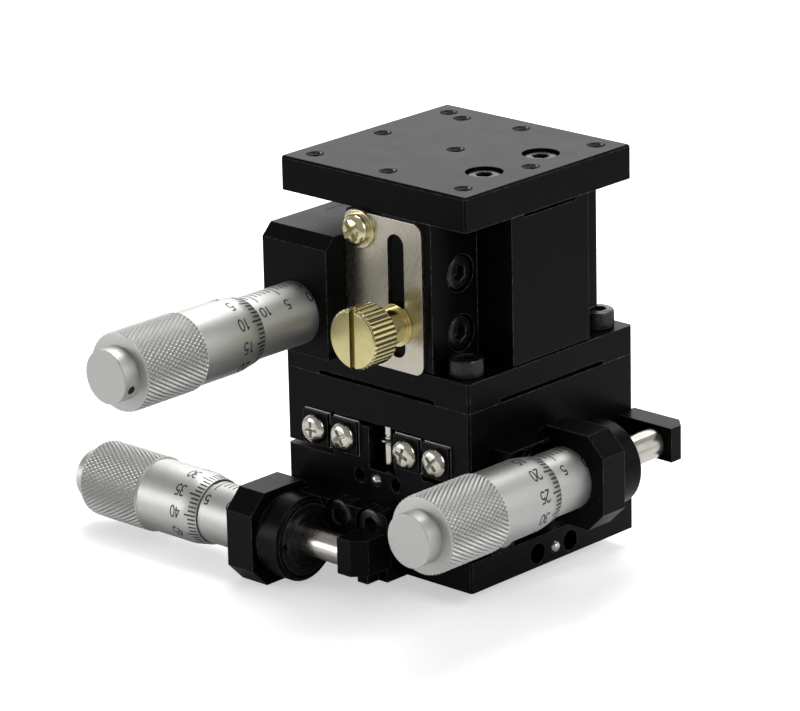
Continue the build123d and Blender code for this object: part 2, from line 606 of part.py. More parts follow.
# ---------------------------------------------------------------- lift: moving part
slab = block(SLAB_X, (-HALF, HALF), LIFT_Z)
slab -= LIFT * channel(LIFT_LENGTH + 4, 1.0)
slab += block((SLAB_X[1], HALF), (-BOSS_HALF, BOSS_HALF), LIFT_Z)
slab -= block((SLAB_X[1] + 1.0, HALF), (-6.3, 6.3), (LIFT_Z[1] - 0.5, LIFT_Z[1]))
slab -= LIFT * Pos(LIFT_POST_AT, 0, RAIL_H + POST_SOCKET / 2) * Cylinder(POST_R + 0.02, POST_SOCKET)
slab -= disc("Y", LOCK_AT, MAJOR_R, -HALF, -OUTER_RAIL[1])

lift_rails = rail_pair(OUTER_RAIL, LIFT_LENGTH, end_holes=False)
lift_rails = LIFT * Compound(children=lift_rails)
lift_screws = []
RAIL_BOLT_Y = sum(OUTER_RAIL) / 2
for y in (-RAIL_BOLT_Y, RAIL_BOLT_Y):
    for z in (40.7, 50.6):
        place = seat((SLAB_X[1], y, z), (1, 0, 0))
        slab -= cap_hole(place, M3, 4.0, 3.2)
        lift_rails -= cap_hole(place, M3, 4.0, 3.2)
        lift_screws.append(cap_screw(place, M3, 4.0, 3.2))

TOP_Z = (LIFT_Z[1], LIFT_Z[1] + TOP_T)
top = vertical_edges_broken(block((-HALF, HALF), (-HALF, HALF), TOP_Z))
top = chamfer(top.faces().sort_by(Axis.Z)[-1].outer_wire().edges(), EDGE)
for x in (-HOLE_PITCH, 0, HOLE_PITCH):
    for y in (-HOLE_PITCH, 0, HOLE_PITCH):
        top -= disc("Z", (x, y), MAJOR_R, *TOP_Z)
top -= disc("Z", (-11.85, 14.7), MAJOR_R, *TOP_Z)
for y in (-6.8, 6.8):
    place = seat((12.2, y, TOP_Z[1]), (0, 0, 1))
    top -= cap_hole(place, M3, 8.0, 3.4)
    slab -= cap_hole(place, M3, 8.0, 3.4)
    lift_screws.append(cap_screw(place, M3, 8.0, 3.4))

# Fork under the top plate, its axle and the roller that rides on the wedge.
FORK_MID_X = sum(FORK_X) / 2
WEDGE_SUM = WEDGE_TOP + WEDGE_BACK + WEDGE_FLAT     # y + z along the wedge's slope
roller_z = WEDGE_SUM + (FOLLOWER_R + ROLLER_PLAY) * sqrt(2) - ROLLER_Y
AXLE = (ROLLER_Y, roller_z)
fork = block(FORK_X, FORK_Y, (roller_z, LIFT_Z[1]))
fork += disc("X", AXLE, (FORK_Y[1] - FORK_Y[0]) / 2, *FORK_X)
cheek = FOLLOWER_W / 2 + 0.15
fork -= block((FORK_MID_X - cheek, FORK_MID_X + cheek), (0, 9), (30, FORK_SPLIT_Z))
fork -= disc("X", AXLE, POST_R + 0.01, *FORK_X)
STUD = (FORK_MID_X, sum(FORK_Y) / 2)
fork += disc("Z", STUD, 1.5, LIFT_Z[1], LIFT_Z[1] + 4.0)
top -= disc("Z", STUD, 1.5 + RUN, LIFT_Z[1], LIFT_Z[1] + 4.3)
follower = disc("X", AXLE, FOLLOWER_R, FORK_MID_X - FOLLOWER_W / 2, FORK_MID_X + FOLLOWER_W / 2)
follower -= disc("X", AXLE, POST_R + RUN, FORK_MID_X - FOLLOWER_W / 2, FORK_MID_X + FOLLOWER_W / 2)

floor = CHANNEL_FLOOR + RUN
slope_foot = WEDGE_SUM - WEDGE_NOSE
profile = [(WEDGE_BACK, floor), (WEDGE_NOSE, floor), (WEDGE_NOSE, slope_foot)]
profile += [(WEDGE_BACK + WEDGE_FLAT, WEDGE_TOP), (WEDGE_BACK, WEDGE_TOP)]
wedge = make_face(Polyline(*[(0, y, z) for y, z in profile], close=True))
wedge_x = (CHANNEL_X[0] + RUN, CHANNEL_X[1] - RUN)
wedge = Pos(wedge_x[0], 0, 0) * extrude(wedge, wedge_x[1] - wedge_x[0], dir=(1, 0, 0))

# Brass lock screw: fluted head with a slot, neck, washer and shank into the slab.
lock = Pos(0, 0, 2.9 + KNOB_L / 2) * Cylinder(KNOB_R, KNOB_L)
lock = chamfer(lock.edges().filter_by(GeomType.CIRCLE), 0.4)
lock += turned([(0, 0.05), (3.5, 0.05), (3.5, 0.6), (2.9, 0.6), (2.9, 2.9), (0, 2.9)])
lock -= Pos(0, 0, 2.9 + KNOB_L - 0.5) * Box(1.1, 2 * KNOB_R + 1, 1.4)
for index in range(KNOB_FLUTES):
    angle = 2 * pi * index / KNOB_FLUTES
    flute = Pos(KNOB_R * cos(angle), KNOB_R * sin(angle), 2.9 + KNOB_L / 2)
    lock -= flute * Rot(0, 0, 45 + 360 * index / KNOB_FLUTES) * Box(0.4, 0.4, KNOB_L + 1)
lock += Pos(0, 0, -1.7) * Cylinder(1.5, 3.6)
lock = seat((LOCK_AT[0], -HALF - CLAMP_T, LOCK_AT[1]), (0, -1, 0)) * lock

save("lift_slab", slab)
save("lift_rails", lift_rails)
save("lift_cap_screws", lift_screws)
save("lift_spring_post", LIFT * spring_post(LIFT_POST_AT, -1.0, RAIL_H + POST_SOCKET))
save("top_plate", top)
save("lift_fork", fork)
save("lift_axle", disc("X", AXLE, POST_R, *FORK_X))
save("follower_roller", follower)
save("lift_wedge", wedge)
save("lock_screw", lock)
head("z", Z_HEAD, Z_SHOWN, CHANNEL_Y[0] - BLOCK_Y[0], WEDGE_BACK - BLOCK_Y[0])
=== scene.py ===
import math

import bmesh
import bpy
import numpy as np
from mathutils import Matrix, Vector


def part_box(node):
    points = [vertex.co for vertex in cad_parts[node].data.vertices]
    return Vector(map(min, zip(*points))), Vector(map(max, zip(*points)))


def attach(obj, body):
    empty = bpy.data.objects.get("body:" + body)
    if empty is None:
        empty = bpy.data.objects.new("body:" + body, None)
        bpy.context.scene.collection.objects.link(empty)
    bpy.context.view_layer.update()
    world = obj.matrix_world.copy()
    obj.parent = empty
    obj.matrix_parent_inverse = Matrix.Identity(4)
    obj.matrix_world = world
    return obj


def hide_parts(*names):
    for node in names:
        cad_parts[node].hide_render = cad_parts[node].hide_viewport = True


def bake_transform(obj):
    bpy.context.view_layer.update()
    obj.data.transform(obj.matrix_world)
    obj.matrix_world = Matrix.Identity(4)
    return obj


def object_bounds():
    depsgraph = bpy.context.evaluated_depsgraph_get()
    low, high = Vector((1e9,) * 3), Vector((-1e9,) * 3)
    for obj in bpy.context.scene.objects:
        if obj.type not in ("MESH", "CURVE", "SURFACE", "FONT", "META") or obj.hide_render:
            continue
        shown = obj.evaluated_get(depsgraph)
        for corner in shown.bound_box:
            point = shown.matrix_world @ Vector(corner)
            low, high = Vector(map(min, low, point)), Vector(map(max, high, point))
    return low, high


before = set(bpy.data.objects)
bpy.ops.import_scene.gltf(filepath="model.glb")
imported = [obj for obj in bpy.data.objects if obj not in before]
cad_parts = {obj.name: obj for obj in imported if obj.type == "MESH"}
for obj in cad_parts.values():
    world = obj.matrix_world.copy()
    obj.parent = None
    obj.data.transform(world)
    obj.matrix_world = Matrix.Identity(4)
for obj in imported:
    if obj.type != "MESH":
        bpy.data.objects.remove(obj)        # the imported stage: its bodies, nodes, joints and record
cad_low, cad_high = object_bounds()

# ---------------- plates, blocks and holders
# Plates, blocks, rail end plates and micrometer holders are milled from aluminium bar and
# anodised black. The dyed oxide is almost black face on and a satin grey at low angles. The
# broken edges are painted pale, partly as wear and partly as a painted highlight, and a
# little dust always lies on it.

MM = 0.001


def linear(code):
    """An sRGB hex colour as the linear colour that a shader takes."""
    parts = [int(code[i:i + 2], 16) / 255 for i in (1, 3, 5)]
    return [c / 12.92 if c <= 0.04045 else ((c + 0.055) / 1.055) ** 2.4 for c in parts] + [1.0]


def node(tree, kind, out=None, inputs=None, **settings):
    """Adds one shader node, sets its properties, fills or links its inputs (a hex colour through
    linear), and gives the output that is asked for, or else the node."""
    made = tree.nodes.new("ShaderNode" + kind)
    for name, value in settings.items():
        setattr(made, name, value)
    for name, value in (inputs or {}).items():
        if isinstance(value, bpy.types.NodeSocket):
            tree.links.new(value, made.inputs[name])
        else:
            made.inputs[name].default_value = linear(value) if isinstance(value, str) else value
    return made if out is None else made.outputs[out]


def new_material(name, surface):
    """A material whose shader is built by surface(tree, where) on Object coordinates in metres."""
    material = bpy.data.materials.new(name)
    material.use_nodes = True
    tree = material.node_tree
    tree.nodes.clear()
    where = node(tree, "TexCoord", "Object")
    node(tree, "OutputMaterial", None, {"Surface": surface(tree, where)})
    return material


def dress(material, *names):
    """Gives carried-over pieces their material."""
    for name in names:
        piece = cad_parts[name]
        if not piece.material_slots:
            piece.data.materials.append(material)
        for place in piece.material_slots:
            place.material = material


def edge_of(tree, width):
    """0 on a flat face and 1 on its edges, with the rounded normal: compares the two normals."""
    round_normal = node(tree, "Bevel", "Normal", {"Radius": width}, samples=6)
    flat_normal = node(tree, "NewGeometry", "Normal")
    dot = node(tree, "VectorMath", "Value", {
        0: round_normal, 1: flat_normal}, operation="DOT_PRODUCT")
    return node(tree, "MapRange", "Result", {
        "Value": dot, "From Min": 0.995, "From Max": 0.86}), round_normal


def black_anodised(tree, where):
    """Satin black: an etched grain drawn 0.2 mm wide so that it shows, cloudy dye over 5 mm,
    pale edges that are partly wear and partly a painted highlight, and dust specks."""
    cloud = node(tree, "TexNoise", "Fac", {"Vector": where, "Scale": 1 / (5 * MM), "Detail": 3.0})
    grain = node(tree, "TexNoise", "Fac", {"Vector": where, "Scale": 1 / (0.2 * MM)})
    edge, round_normal = edge_of(tree, 0.14 * MM)
    dyed = node(tree, "Mix", 2, {
        0: cloud, 6: "#030303", 7: "#0A0A0B"}, data_type="RGBA")
    edge_breakup_noise = node(tree, "TexNoise", "Fac", {"Vector": where, "Scale": 1 / (0.7 * MM), "Detail": 4.0})
    edge_wear_and_highlight = node(tree, "MapRange", "Result", {
        "Value": edge_breakup_noise, "From Min": 0.42, "From Max": 0.75, "To Min": 0.15, "To Max": 1.0})
    # Painted highlight along the broken edges, broken up by noise: partly wear, partly a painted line
    # of light.
    rubbed = node(tree, "Math", "Value", {0: edge, 1: edge_wear_and_highlight}, operation="MULTIPLY")
    body = node(tree, "Mix", 2, {0: rubbed, 6: dyed, 7: "#8C8D8E"}, data_type="RGBA")
    # Dust: one speck of about 0.1 mm in some of the cells of a 1.5 mm mesh.
    cells = node(tree, "TexVoronoi", None, {"Vector": where, "Scale": 1 / (1.5 * MM)})
    near = node(tree, "Math", "Value", {
        0: cells.outputs["Distance"], 1: 0.045}, operation="LESS_THAN")
    pick = node(tree, "SeparateColor", "Red", {"Color": cells.outputs["Color"]})
    some = node(tree, "Math", "Value", {0: pick, 1: 0.25}, operation="LESS_THAN")
    speck = node(tree, "Math", "Value", {0: near, 1: some}, operation="MULTIPLY")
    colour = node(tree, "Mix", 2, {0: speck, 6: body, 7: "#5E5F5D"}, data_type="RGBA")
    rough = node(tree, "MapRange", "Result", {"Value": cloud, "To Min": 0.27, "To Max": 0.37})
    bump = node(tree, "Bump", "Normal", {
        "Height": grain, "Distance": 0.008 * MM, "Strength": 0.8, "Normal": round_normal})
    return node(tree, "BsdfPrincipled", "BSDF", {
        "Base Color": colour, "Roughness": rough, "IOR": 1.16,
        "Normal": bump})


anodised = new_material("black_anodised_aluminium", black_anodised)
dress(anodised, "base_plate", "x_stop_arm", "middle_block", "x_mic_holder", "y_stop_arm")
dress(anodised, "upper_carriage", "y_mic_holder", "adapter_plate", "lift_body", "z_mic_block")
dress(anodised, "lift_slab", "top_plate")
dress(anodised, "base_end_plates", "middle_end_plates", "upper_end_plates")

# ---------------- guide rails, cages and wedge
# The rails, rollers, wedge and its roller are hardened bearing steel, ground on every face.
# Grinding leaves fine parallel lines and a bright grey that mirrors softly.


def ground_steel(tree, where):
    """Ground bearing steel: grinding lines 0.08 mm apart and patches of slightly duller grey."""
    lines = node(tree, "TexNoise", "Fac", {
        "Vector": where, "Scale": 1 / (0.08 * MM), "Detail": 1.0})
    patch = node(tree, "TexNoise", "Fac", {"Vector": where, "Scale": 1 / (3 * MM)})
    round_normal = edge_of(tree, 0.1 * MM)[1]
    grey = node(tree, "Mix", 2, {
        0: patch, 6: "#A7A6A2", 7: "#C4C3BF"}, data_type="RGBA")
    rough = node(tree, "MapRange", "Result", {"Value": lines, "To Min": 0.2, "To Max": 0.34})
    bump = node(tree, "Bump", "Normal", {
        "Height": lines, "Distance": 0.002 * MM, "Strength": 0.4, "Normal": round_normal})
    return node(tree, "BsdfPrincipled", "BSDF", {
        "Base Color": grey, "Metallic": 1.0, "Roughness": rough,
        "Normal": bump})


rail_steel = new_material("ground_bearing_steel", ground_steel)
dress(rail_steel, "base_rails", "middle_rails", "upper_rails", "lift_rails", "lift_wedge")
dress(rail_steel, "follower_roller")
dress(rail_steel, "lower_roller_cages", "upper_roller_cages", "lift_roller_cages")

# ---------------- ring nuts and cap screws
# Ring nuts and socket cap screws are steel with a black oxide, dipped and oiled.
# The oxide is thin, so corners and key sockets rub through to grey steel.


def oxide_black(tree, where):
    """Oiled black oxide: near black with brown-grey rubbed edges and a soft oily sheen."""
    stain = node(tree, "TexNoise", "Fac", {"Vector": where, "Scale": 1 / (1.2 * MM), "Detail": 4.0})
    edge, round_normal = edge_of(tree, 0.12 * MM)
    dark = node(tree, "Mix", 2, {
        0: stain, 6: "#09090A", 7: "#161617"}, data_type="RGBA")
    part = node(tree, "Math", "Value", {0: edge, 1: stain}, operation="MULTIPLY")
    colour = node(tree, "Mix", 2, {0: part, 6: dark, 7: "#6A6966"}, data_type="RGBA")
    rough = node(tree, "MapRange", "Result", {"Value": stain, "To Min": 0.16, "To Max": 0.36})
    return node(tree, "BsdfPrincipled", "BSDF", {
        "Base Color": colour, "IOR": 1.42, "Roughness": rough,
        "Normal": round_normal})


black_oxide = new_material("oiled_black_oxide_steel", oxide_black)
dress(black_oxide, "x_mic_nut", "y_mic_nut")

SCREW_COLUMNS = 96
M3 = (1.25, 2.75, 3.0, 2.5)          # shank radius at the thread's core, head radius, height, key
M25 = (1.05, 2.2, 2.5, 2.0)
M2 = (0.8, 1.75, 1.6, 1.5)


def joined(parts):
    """Several (points, faces) pairs as one mesh."""
    points, faces, start = [], [], 0
    for some_points, some_faces in parts:
        points.append(some_points)
        faces += [[index + start for index in face] for face in some_faces]
        start += len(some_points)
    return np.concatenate(points), faces


def outward(points, faces):
    """Turns a closed mesh's faces so that its signed volume is positive."""
    first = points[[face[0] for face in faces]]
    second = points[[face[1] for face in faces]]
    third = points[[face[2] for face in faces]]
    fourth = points[[face[-1] for face in faces]]
    volume = np.sum(first * (np.cross(second, third) + np.cross(third, fourth)))
    return faces if volume > 0 else [face[::-1] for face in faces]


def piece(name, points, faces, material, slot, body=None, replaced=None, crease=40):
    """A mesh object at the origin, smooth except over edges sharper than the crease angle. It
    rides on a body, and may take the place of a carried-over solid."""
    mesh = bpy.data.meshes.new(name)
    mesh.from_pydata(points.tolist(), [], outward(points, faces))
    mesh.shade_smooth()
    mesh.set_sharp_from_angle(angle=math.radians(crease))
    mesh.materials.append(material)
    made = bpy.data.objects.new(name, mesh)
    bpy.context.scene.collection.objects.link(made)
    if replaced:
        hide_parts(replaced)
    if body:
        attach(made, body)
    return made


def band(rows, columns, start=0, closed=False):
    """Quads over rings of points, closed round the axis, and if closed also from last to first."""
    row = np.arange(rows if closed else rows - 1)[:, None]
    column = np.arange(columns)[None, :]
    below = (row + 1) % rows
    after = (column + 1) % columns
    quads = np.stack([row * columns + column, row * columns + after,
                      below * columns + after, below * columns + column], -1)
    return (quads.reshape(-1, 4) + start).tolist()


def lathe(rows, turn):
    """Rings round the z axis: each row is a height and a radius, and either may be an array over
    the angles in turn. The first and the last row are single points on the axis."""
    height = np.array([np.broadcast_to(row[0], turn.shape) for row in rows])
    radius = np.array([np.broadcast_to(row[1], turn.shape) for row in rows])
    rings = np.stack([radius * np.cos(turn), radius * np.sin(turn), height], -1)
    points = np.concatenate([rings[0, :1], rings[1:-1].reshape(-1, 3), rings[-1, :1]])
    columns = len(turn)
    column = np.arange(columns)
    after = (column + 1) % columns
    start = 1 + (len(rows) - 3) * columns
    end = np.full(columns, start + columns)
    first = np.stack([np.zeros_like(column), after + 1, column + 1], -1)
    last = np.stack([end, start + column, start + after], -1)
    return points, first.tolist() + band(len(rows) - 2, columns, 1) + last.tolist()


def placed(points, tip, direction, spin=0.0):
    """Turns the z axis to a direction, after a spin about it, and moves the origin to the tip."""
    axis = np.array(direction, float)
    first = np.cross(axis, (0.0, 0.0, 1.0)) if abs(axis[2]) < 0.5 else np.array((1.0, 0.0, 0.0))
    second = np.cross(axis, first)
    basis = np.stack([math.cos(spin) * first + math.sin(spin) * second,
                      math.cos(spin) * second - math.sin(spin) * first, axis])
    return (points @ basis + np.array(tip)) * MM


def socket_screw(size, length, tip, direction):
    """A cap screw from its tip down: the socket's radius is its half width over the cosine of the
    angle to the nearest flat, and the head's side is a row of fine ridges."""
    shank_r, head_r, head_h, key = size
    turn = np.linspace(0, 2 * np.pi, SCREW_COLUMNS, endpoint=False)
    ridge = head_r - 0.1 * (np.arange(SCREW_COLUMNS) % 2)
    socket = key / 2 / np.cos((turn + np.pi / 6) % (np.pi / 3) - np.pi / 6)
    rows = [(-length, 0), (-length, shank_r), (-head_h, shank_r), (-head_h, head_r - 0.15)]
    rows += [(-head_h + 0.15, ridge), (-0.42, ridge), (-0.36, head_r - 0.03)]
    rows += [(-0.12, head_r - 0.12), (0, head_r - 0.36), (0, socket + 0.14), (-0.14, socket)]
    rows += [(-head_h * 0.55, socket), (-head_h * 0.55 - 0.3, 0)]
    points, faces = lathe(rows, turn)
    return placed(points, tip, direction), faces


CAP_SCREWS = {
    "x_stop_screw": [(M2, 8.6, (0, -24.2, 2.6), (0, -1, 0))],
    "middle_cap_screws": [
        (M3, 7.4, (-5.0, -24.2, 8.7), (0, -1, 0)), (M3, 7.4, (2.0, -24.2, 8.7), (0, -1, 0)),
        (M25, 8.5, (15.6, 19.9, 14.6), (0, 1, 0))],
    "upper_cap_screws": [
        (M3, 8.3, (-16.0, -16.0, 35.0), (0, 0, 1)), (M3, 8.3, (-16.0, 16.0, 35.0), (0, 0, 1)),
        (M3, 11.5, (16.0, -16.0, 38.2), (0, 0, 1)), (M3, 11.5, (16.0, 16.0, 38.2), (0, 0, 1)),
        (M3, 9.6, (1.3, -17.0, 38.0), (1, 0, 0)), (M3, 9.6, (1.3, -17.0, 51.0), (1, 0, 0)),
        (M2, 5.6, (22.0, -13.0, 21.4), (1, 0, 0)), (M2, 5.6, (22.0, -8.6, 21.4), (1, 0, 0))],
    "lift_cap_screws": [
        (M3, 7.0, (12.3, -13.2, 40.7), (1, 0, 0)), (M3, 7.0, (12.3, -13.2, 50.6), (1, 0, 0)),
        (M3, 7.0, (12.3, 13.2, 40.7), (1, 0, 0)), (M3, 7.0, (12.3, 13.2, 50.6), (1, 0, 0)),
        (M3, 11.0, (12.2, -6.8, 65.4), (0, 0, 1)), (M3, 11.0, (12.2, 6.8, 65.4), (0, 0, 1))],
}
SCREW_BODIES = {"x_stop_screw": "base", "middle_cap_screws": "x_carriage",
                "upper_cap_screws": "y_carriage", "lift_cap_screws": "z_carriage"}

for name, screws in CAP_SCREWS.items():
    points, faces = joined([socket_screw(*screw) for screw in screws])
    piece(name + "_turned", points, faces, black_oxide, "black_oxide", SCREW_BODIES[name], name, 30)

# ---------------- tapped holes
# The M3 holes in the top plate and in the middle block's front are tapped after anodising.
# The fresh threads catch thin bright crescents inside the dark holes.

TAP_COLUMNS = 32
TAP_PITCH = 0.5
TAP_ROWS = 6             # rows of points in one pitch
TAP_WALL = 0.03          # of the liner that carries the thread
TOP_TAP = (1.545, 1.25, 5.7)         # outer radius, core radius, depth
SIDE_TAP = (1.245, 1.0, 4.0)
TOP_Z = 65.8
HOLE_PITCH = 16


def thread(radius, core, depth, place, direction):
    """The radius goes between the core and the outside of the thread as a triangle wave of the
    depth over the pitch plus the part of a turn, inside a plain outer wall."""
    turn = np.linspace(0, 2 * np.pi, TAP_COLUMNS, endpoint=False)
    down = np.linspace(0.3, depth - 0.05, int(depth / TAP_PITCH * TAP_ROWS))[:, None]
    ridge = np.abs(2 * ((down / TAP_PITCH + turn / (2 * np.pi)) % 1) - 1)
    inner = core + (radius - 0.04 - core) * ridge
    height = np.concatenate([np.full((2, 1), 0.05), down, np.full((2, 1), depth)])
    wall = np.array([[radius], [radius - TAP_WALL]])
    reach = np.concatenate([np.broadcast_to(wall, (2, TAP_COLUMNS)), inner,
                            np.broadcast_to(wall[::-1], (2, TAP_COLUMNS))])
    height = np.broadcast_to(height, reach.shape)
    points = np.stack([reach * np.cos(turn), reach * np.sin(turn), -height], -1).reshape(-1, 3)
    return placed(points, place, direction), band(len(down) + 4, TAP_COLUMNS, closed=True)


def cut_thread(tree, where):
    """Bare cut aluminium with a little oil: grey, with the bright and dark of a fine ridge."""
    oil = node(tree, "TexNoise", "Fac", {"Vector": where, "Scale": 1 / (0.3 * MM)})
    tone = node(tree, "Mix", 2, {
        0: oil, 6: "#2B2B2B", 7: "#77787A"}, data_type="RGBA")
    return node(tree, "BsdfPrincipled", "BSDF", {
        "Base Color": tone, "Metallic": 1.0, "Roughness": 0.3})


cut_metal = new_material("cut_aluminium_thread", cut_thread)
grid = (-HOLE_PITCH, 0, HOLE_PITCH)
holes = [(x, y) for x in grid for y in grid] + [(-11.85, 14.7)]
points, faces = joined([thread(*TOP_TAP, (x, y, TOP_Z), (0, 0, 1)) for x, y in holes])
piece("top_plate_threads", points, faces, cut_metal, "black_anodised", "z_carriage", crease=20)
points, faces = joined([thread(*SIDE_TAP, (x, -20, 14.8), (0, -1, 0)) for x in (-4.4, 3.6)])
piece("middle_block_threads", points, faces, cut_metal, "black_anodised", "x_carriage", crease=20)

# ---------------- spring slot and channel cover
# The middle block's rib is milled open on one side of the spring's slot, which lets the post
# be seen and reached. A thin anodised cover closes the top of the wedge's channel.

SLOT_HALF = 1.9          # the rib's wall beside the slot stood here, from z 12 to 24
SLOT_OPENED = 3.7
COVERS = (((-17.08, -12.98, 54.9), (-8.12, -1.6, 55.48)),
          ((-17.08, 10.8, 54.9), (-8.12, 17.98, 55.48)))


def block_points(low, high):
    """The eight corners and six faces of a block."""
    corner = np.array([(x, y, z) for x in (0, 1) for y in (0, 1) for z in (0, 1)], float)
    faces = [[0, 1, 3, 2], [4, 6, 7, 5], [0, 4, 5, 1], [2, 3, 7, 6], [0, 2, 6, 4], [1, 5, 7, 3]]
    return (np.array(low) + corner * (np.array(high) - np.array(low))) * MM, faces


def welded(name):
    """A carried-over solid's points in mm and its faces, with equal points merged."""
    mesh = bmesh.new()
    mesh.from_mesh(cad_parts[name].data)
    bmesh.ops.remove_doubles(mesh, verts=mesh.verts, dist=1e-6)
    points = np.array([vertex.co[:] for vertex in mesh.verts]) / MM
    faces = [[vertex.index for vertex in face.verts] for face in mesh.faces]
    mesh.free()
    return points, faces


points, faces = welded("middle_block")
wall = (np.abs(points[:, 0] - SLOT_HALF) < 0.01) & (points[:, 2] > 12) & (points[:, 2] < 24)
points[:, 0] = np.where(wall, SLOT_OPENED, points[:, 0])
piece("middle_block_milled", points * MM, faces, anodised, "black_anodised", "x_carriage",
      "middle_block", 25)

points, faces = joined([block_points(*cover) for cover in COVERS])
piece("wedge_channel_cover", points, faces, anodised, "black_anodised", "y_carriage")

# ---------------- rail end screws and spring posts
# Pan screws and grooved posts are turned steel with a bright nickel plate, slightly warm.
# The plate rounds every edge and follows the tool marks under it.


def nickel_plate(tree, where):
    """Bright nickel: warm silver, near mirror, with a ripple of 0.4 mm from the metal below."""
    ripple = node(tree, "TexNoise", "Fac", {
        "Vector": where, "Scale": 1 / (0.4 * MM), "Detail": 3.0})
    round_normal = edge_of(tree, 0.15 * MM)[1]
    tint = node(tree, "Mix", 2, {
        0: ripple, 6: "#BDB8AC", 7: "#E2DFD6"}, data_type="RGBA")
    rough = node(tree, "MapRange", "Result", {"Value": ripple, "To Min": 0.1, "To Max": 0.3})
    bump = node(tree, "Bump", "Normal", {
        "Height": ripple, "Distance": 0.02 * MM, "Strength": 0.35, "Normal": round_normal})
    return node(tree, "BsdfPrincipled", "BSDF", {
        "Base Color": tint, "Metallic": 1.0, "Roughness": rough,
        "Normal": bump})


nickel = new_material("bright_nickel_plate", nickel_plate)

CROSS_WIDTH = 0.3        # half width and length of the recess's arms on the rail screws
CROSS_LENGTH = 1.35


def cross_screw(head_r, head_h, shank_r, length, arm, width):
    """A domed head whose recess is a cross: the recess's radius is the arm's length over the
    cosine, or its half width over the sine, of the angle to the nearest arm, whichever is less."""
    corner = math.degrees(math.atan(width / arm))
    quarter = np.array([-45, -33, -22, -corner, -corner / 2, 0, corner / 2, corner, 22, 33])
    turn = np.radians((quarter[None, :] + 90 * np.arange(4)[:, None]).reshape(-1))
    lean = np.abs((turn + np.pi / 4) % (np.pi / 2) - np.pi / 4)
    cross = np.minimum(arm / np.cos(lean), width / np.maximum(np.sin(lean), 1e-6))
    rows = [(-length, 0), (-length, shank_r), (0, shank_r), (0, head_r - 0.08), (0.08, head_r)]
    rows += [(0.36 * head_h, head_r), (0.52 * head_h, 0.97 * head_r), (0.7 * head_h, 0.89 * head_r)]
    rows += [(0.84 * head_h, 0.78 * head_r), (0.93 * head_h, 0.66 * head_r)]
    rows += [(0.97 * head_h, cross + 0.05), (0.9 * head_h, cross)]
    rows += [(0.35 * head_h, 0.5 * cross), (0.3 * head_h, 0)]
    return lathe(rows, turn)


# Body, axis of the slide, seat from the middle, distance to the side, and height.
END_SCREWS = {"base_end_screws": ("base", 0, 14.07, 6.8, 8.7),
              "upper_end_screws": ("y_carriage", 1, 20.57, 13.2, 21.0)}
MIDDLE_SCREWS = ((0, 20.57, 13.2, 8.7), (1, 20.57, 6.8, 21.0))


def rail_screws(axis, at, across, height, start):
    """Four screws in the ends of a pair of rails, each turned home at its own angle."""
    parts = []
    for number, (end, side) in enumerate(((1, -1), (-1, -1), (1, 1), (-1, 1))):
        points, faces = cross_screw(2.45, 1.35, 1.0, 2.6, CROSS_LENGTH, CROSS_WIDTH)
        tip = np.array((0.0, 0.0, height))
        tip[axis] = end * at
        tip[1 - axis] = side * across
        direction = np.zeros(3)
        direction[axis] = end
        parts.append((placed(points, tip, direction, math.radians(start + 67 * number)), faces))
    return parts


for name, (body, *row) in END_SCREWS.items():
    points, faces = joined(rail_screws(*row, 24))
    piece(name + "_turned", points, faces, nickel, "nickel", body, name, 34)
points, faces = joined(rail_screws(*MIDDLE_SCREWS[0], 10) + rail_screws(*MIDDLE_SCREWS[1], 52))
piece("middle_end_screws_turned", points, faces, nickel, "nickel", "x_carriage",
      "middle_end_screws", 34)
dress(nickel, "base_spring_post", "middle_spring_posts", "upper_spring_posts", "lift_spring_post")

# ---------------- return springs
# Three close-wound springs of drawn steel wire pull each slide against its spindle. Each
# lies in the slot between the rails, with a loop round a post at both ends.

WIRE_R = 0.22
COIL_R = 1.28            # from the spring's axis to the wire's centre
LOOP_R = 1.37
COIL_PITCH = 0.46
RING_SIDES = 8


def tube(path, radial, radius):
    """A round wire along a path. At each point the ring lies in the plane of the radial
    direction, made square to the path, and of the direction square to both."""
    along = np.gradient(path, axis=0)
    along /= np.linalg.norm(along, axis=1, keepdims=True)
    out = radial - along * np.sum(radial * along, axis=1, keepdims=True)
    out /= np.linalg.norm(out, axis=1, keepdims=True)
    side = np.cross(along, out)
    turn = np.linspace(0, 2 * np.pi, RING_SIDES, endpoint=False)[None, :, None]
    reach = np.cos(turn) * out[:, None, :] + np.sin(turn) * side[:, None, :]
    ring = path[:, None, :] + radius * reach
    count = len(path)
    last = (count - 1) * RING_SIDES
    ends = [list(range(RING_SIDES))[::-1], list(range(last, last + RING_SIDES))]
    return ring.reshape(-1, 3), band(count, RING_SIDES) + ends


def drawn_wire(tree, where):
    """Drawn spring wire: mid grey steel with a soft lengthwise shine."""
    draw = node(tree, "TexNoise", "Fac", {"Vector": where, "Scale": 1 / (0.15 * MM)})
    grey = node(tree, "Mix", 2, {
        0: draw, 6: "#77777A", 7: "#A5A5A6"}, data_type="RGBA")
    rough = node(tree, "MapRange", "Result", {"Value": draw, "To Min": 0.25, "To Max": 0.4})
    return node(tree, "BsdfPrincipled", "BSDF", {
        "Base Color": grey, "Metallic": 1.0, "Roughness": rough})


spring_wire = new_material("drawn_spring_wire", drawn_wire)


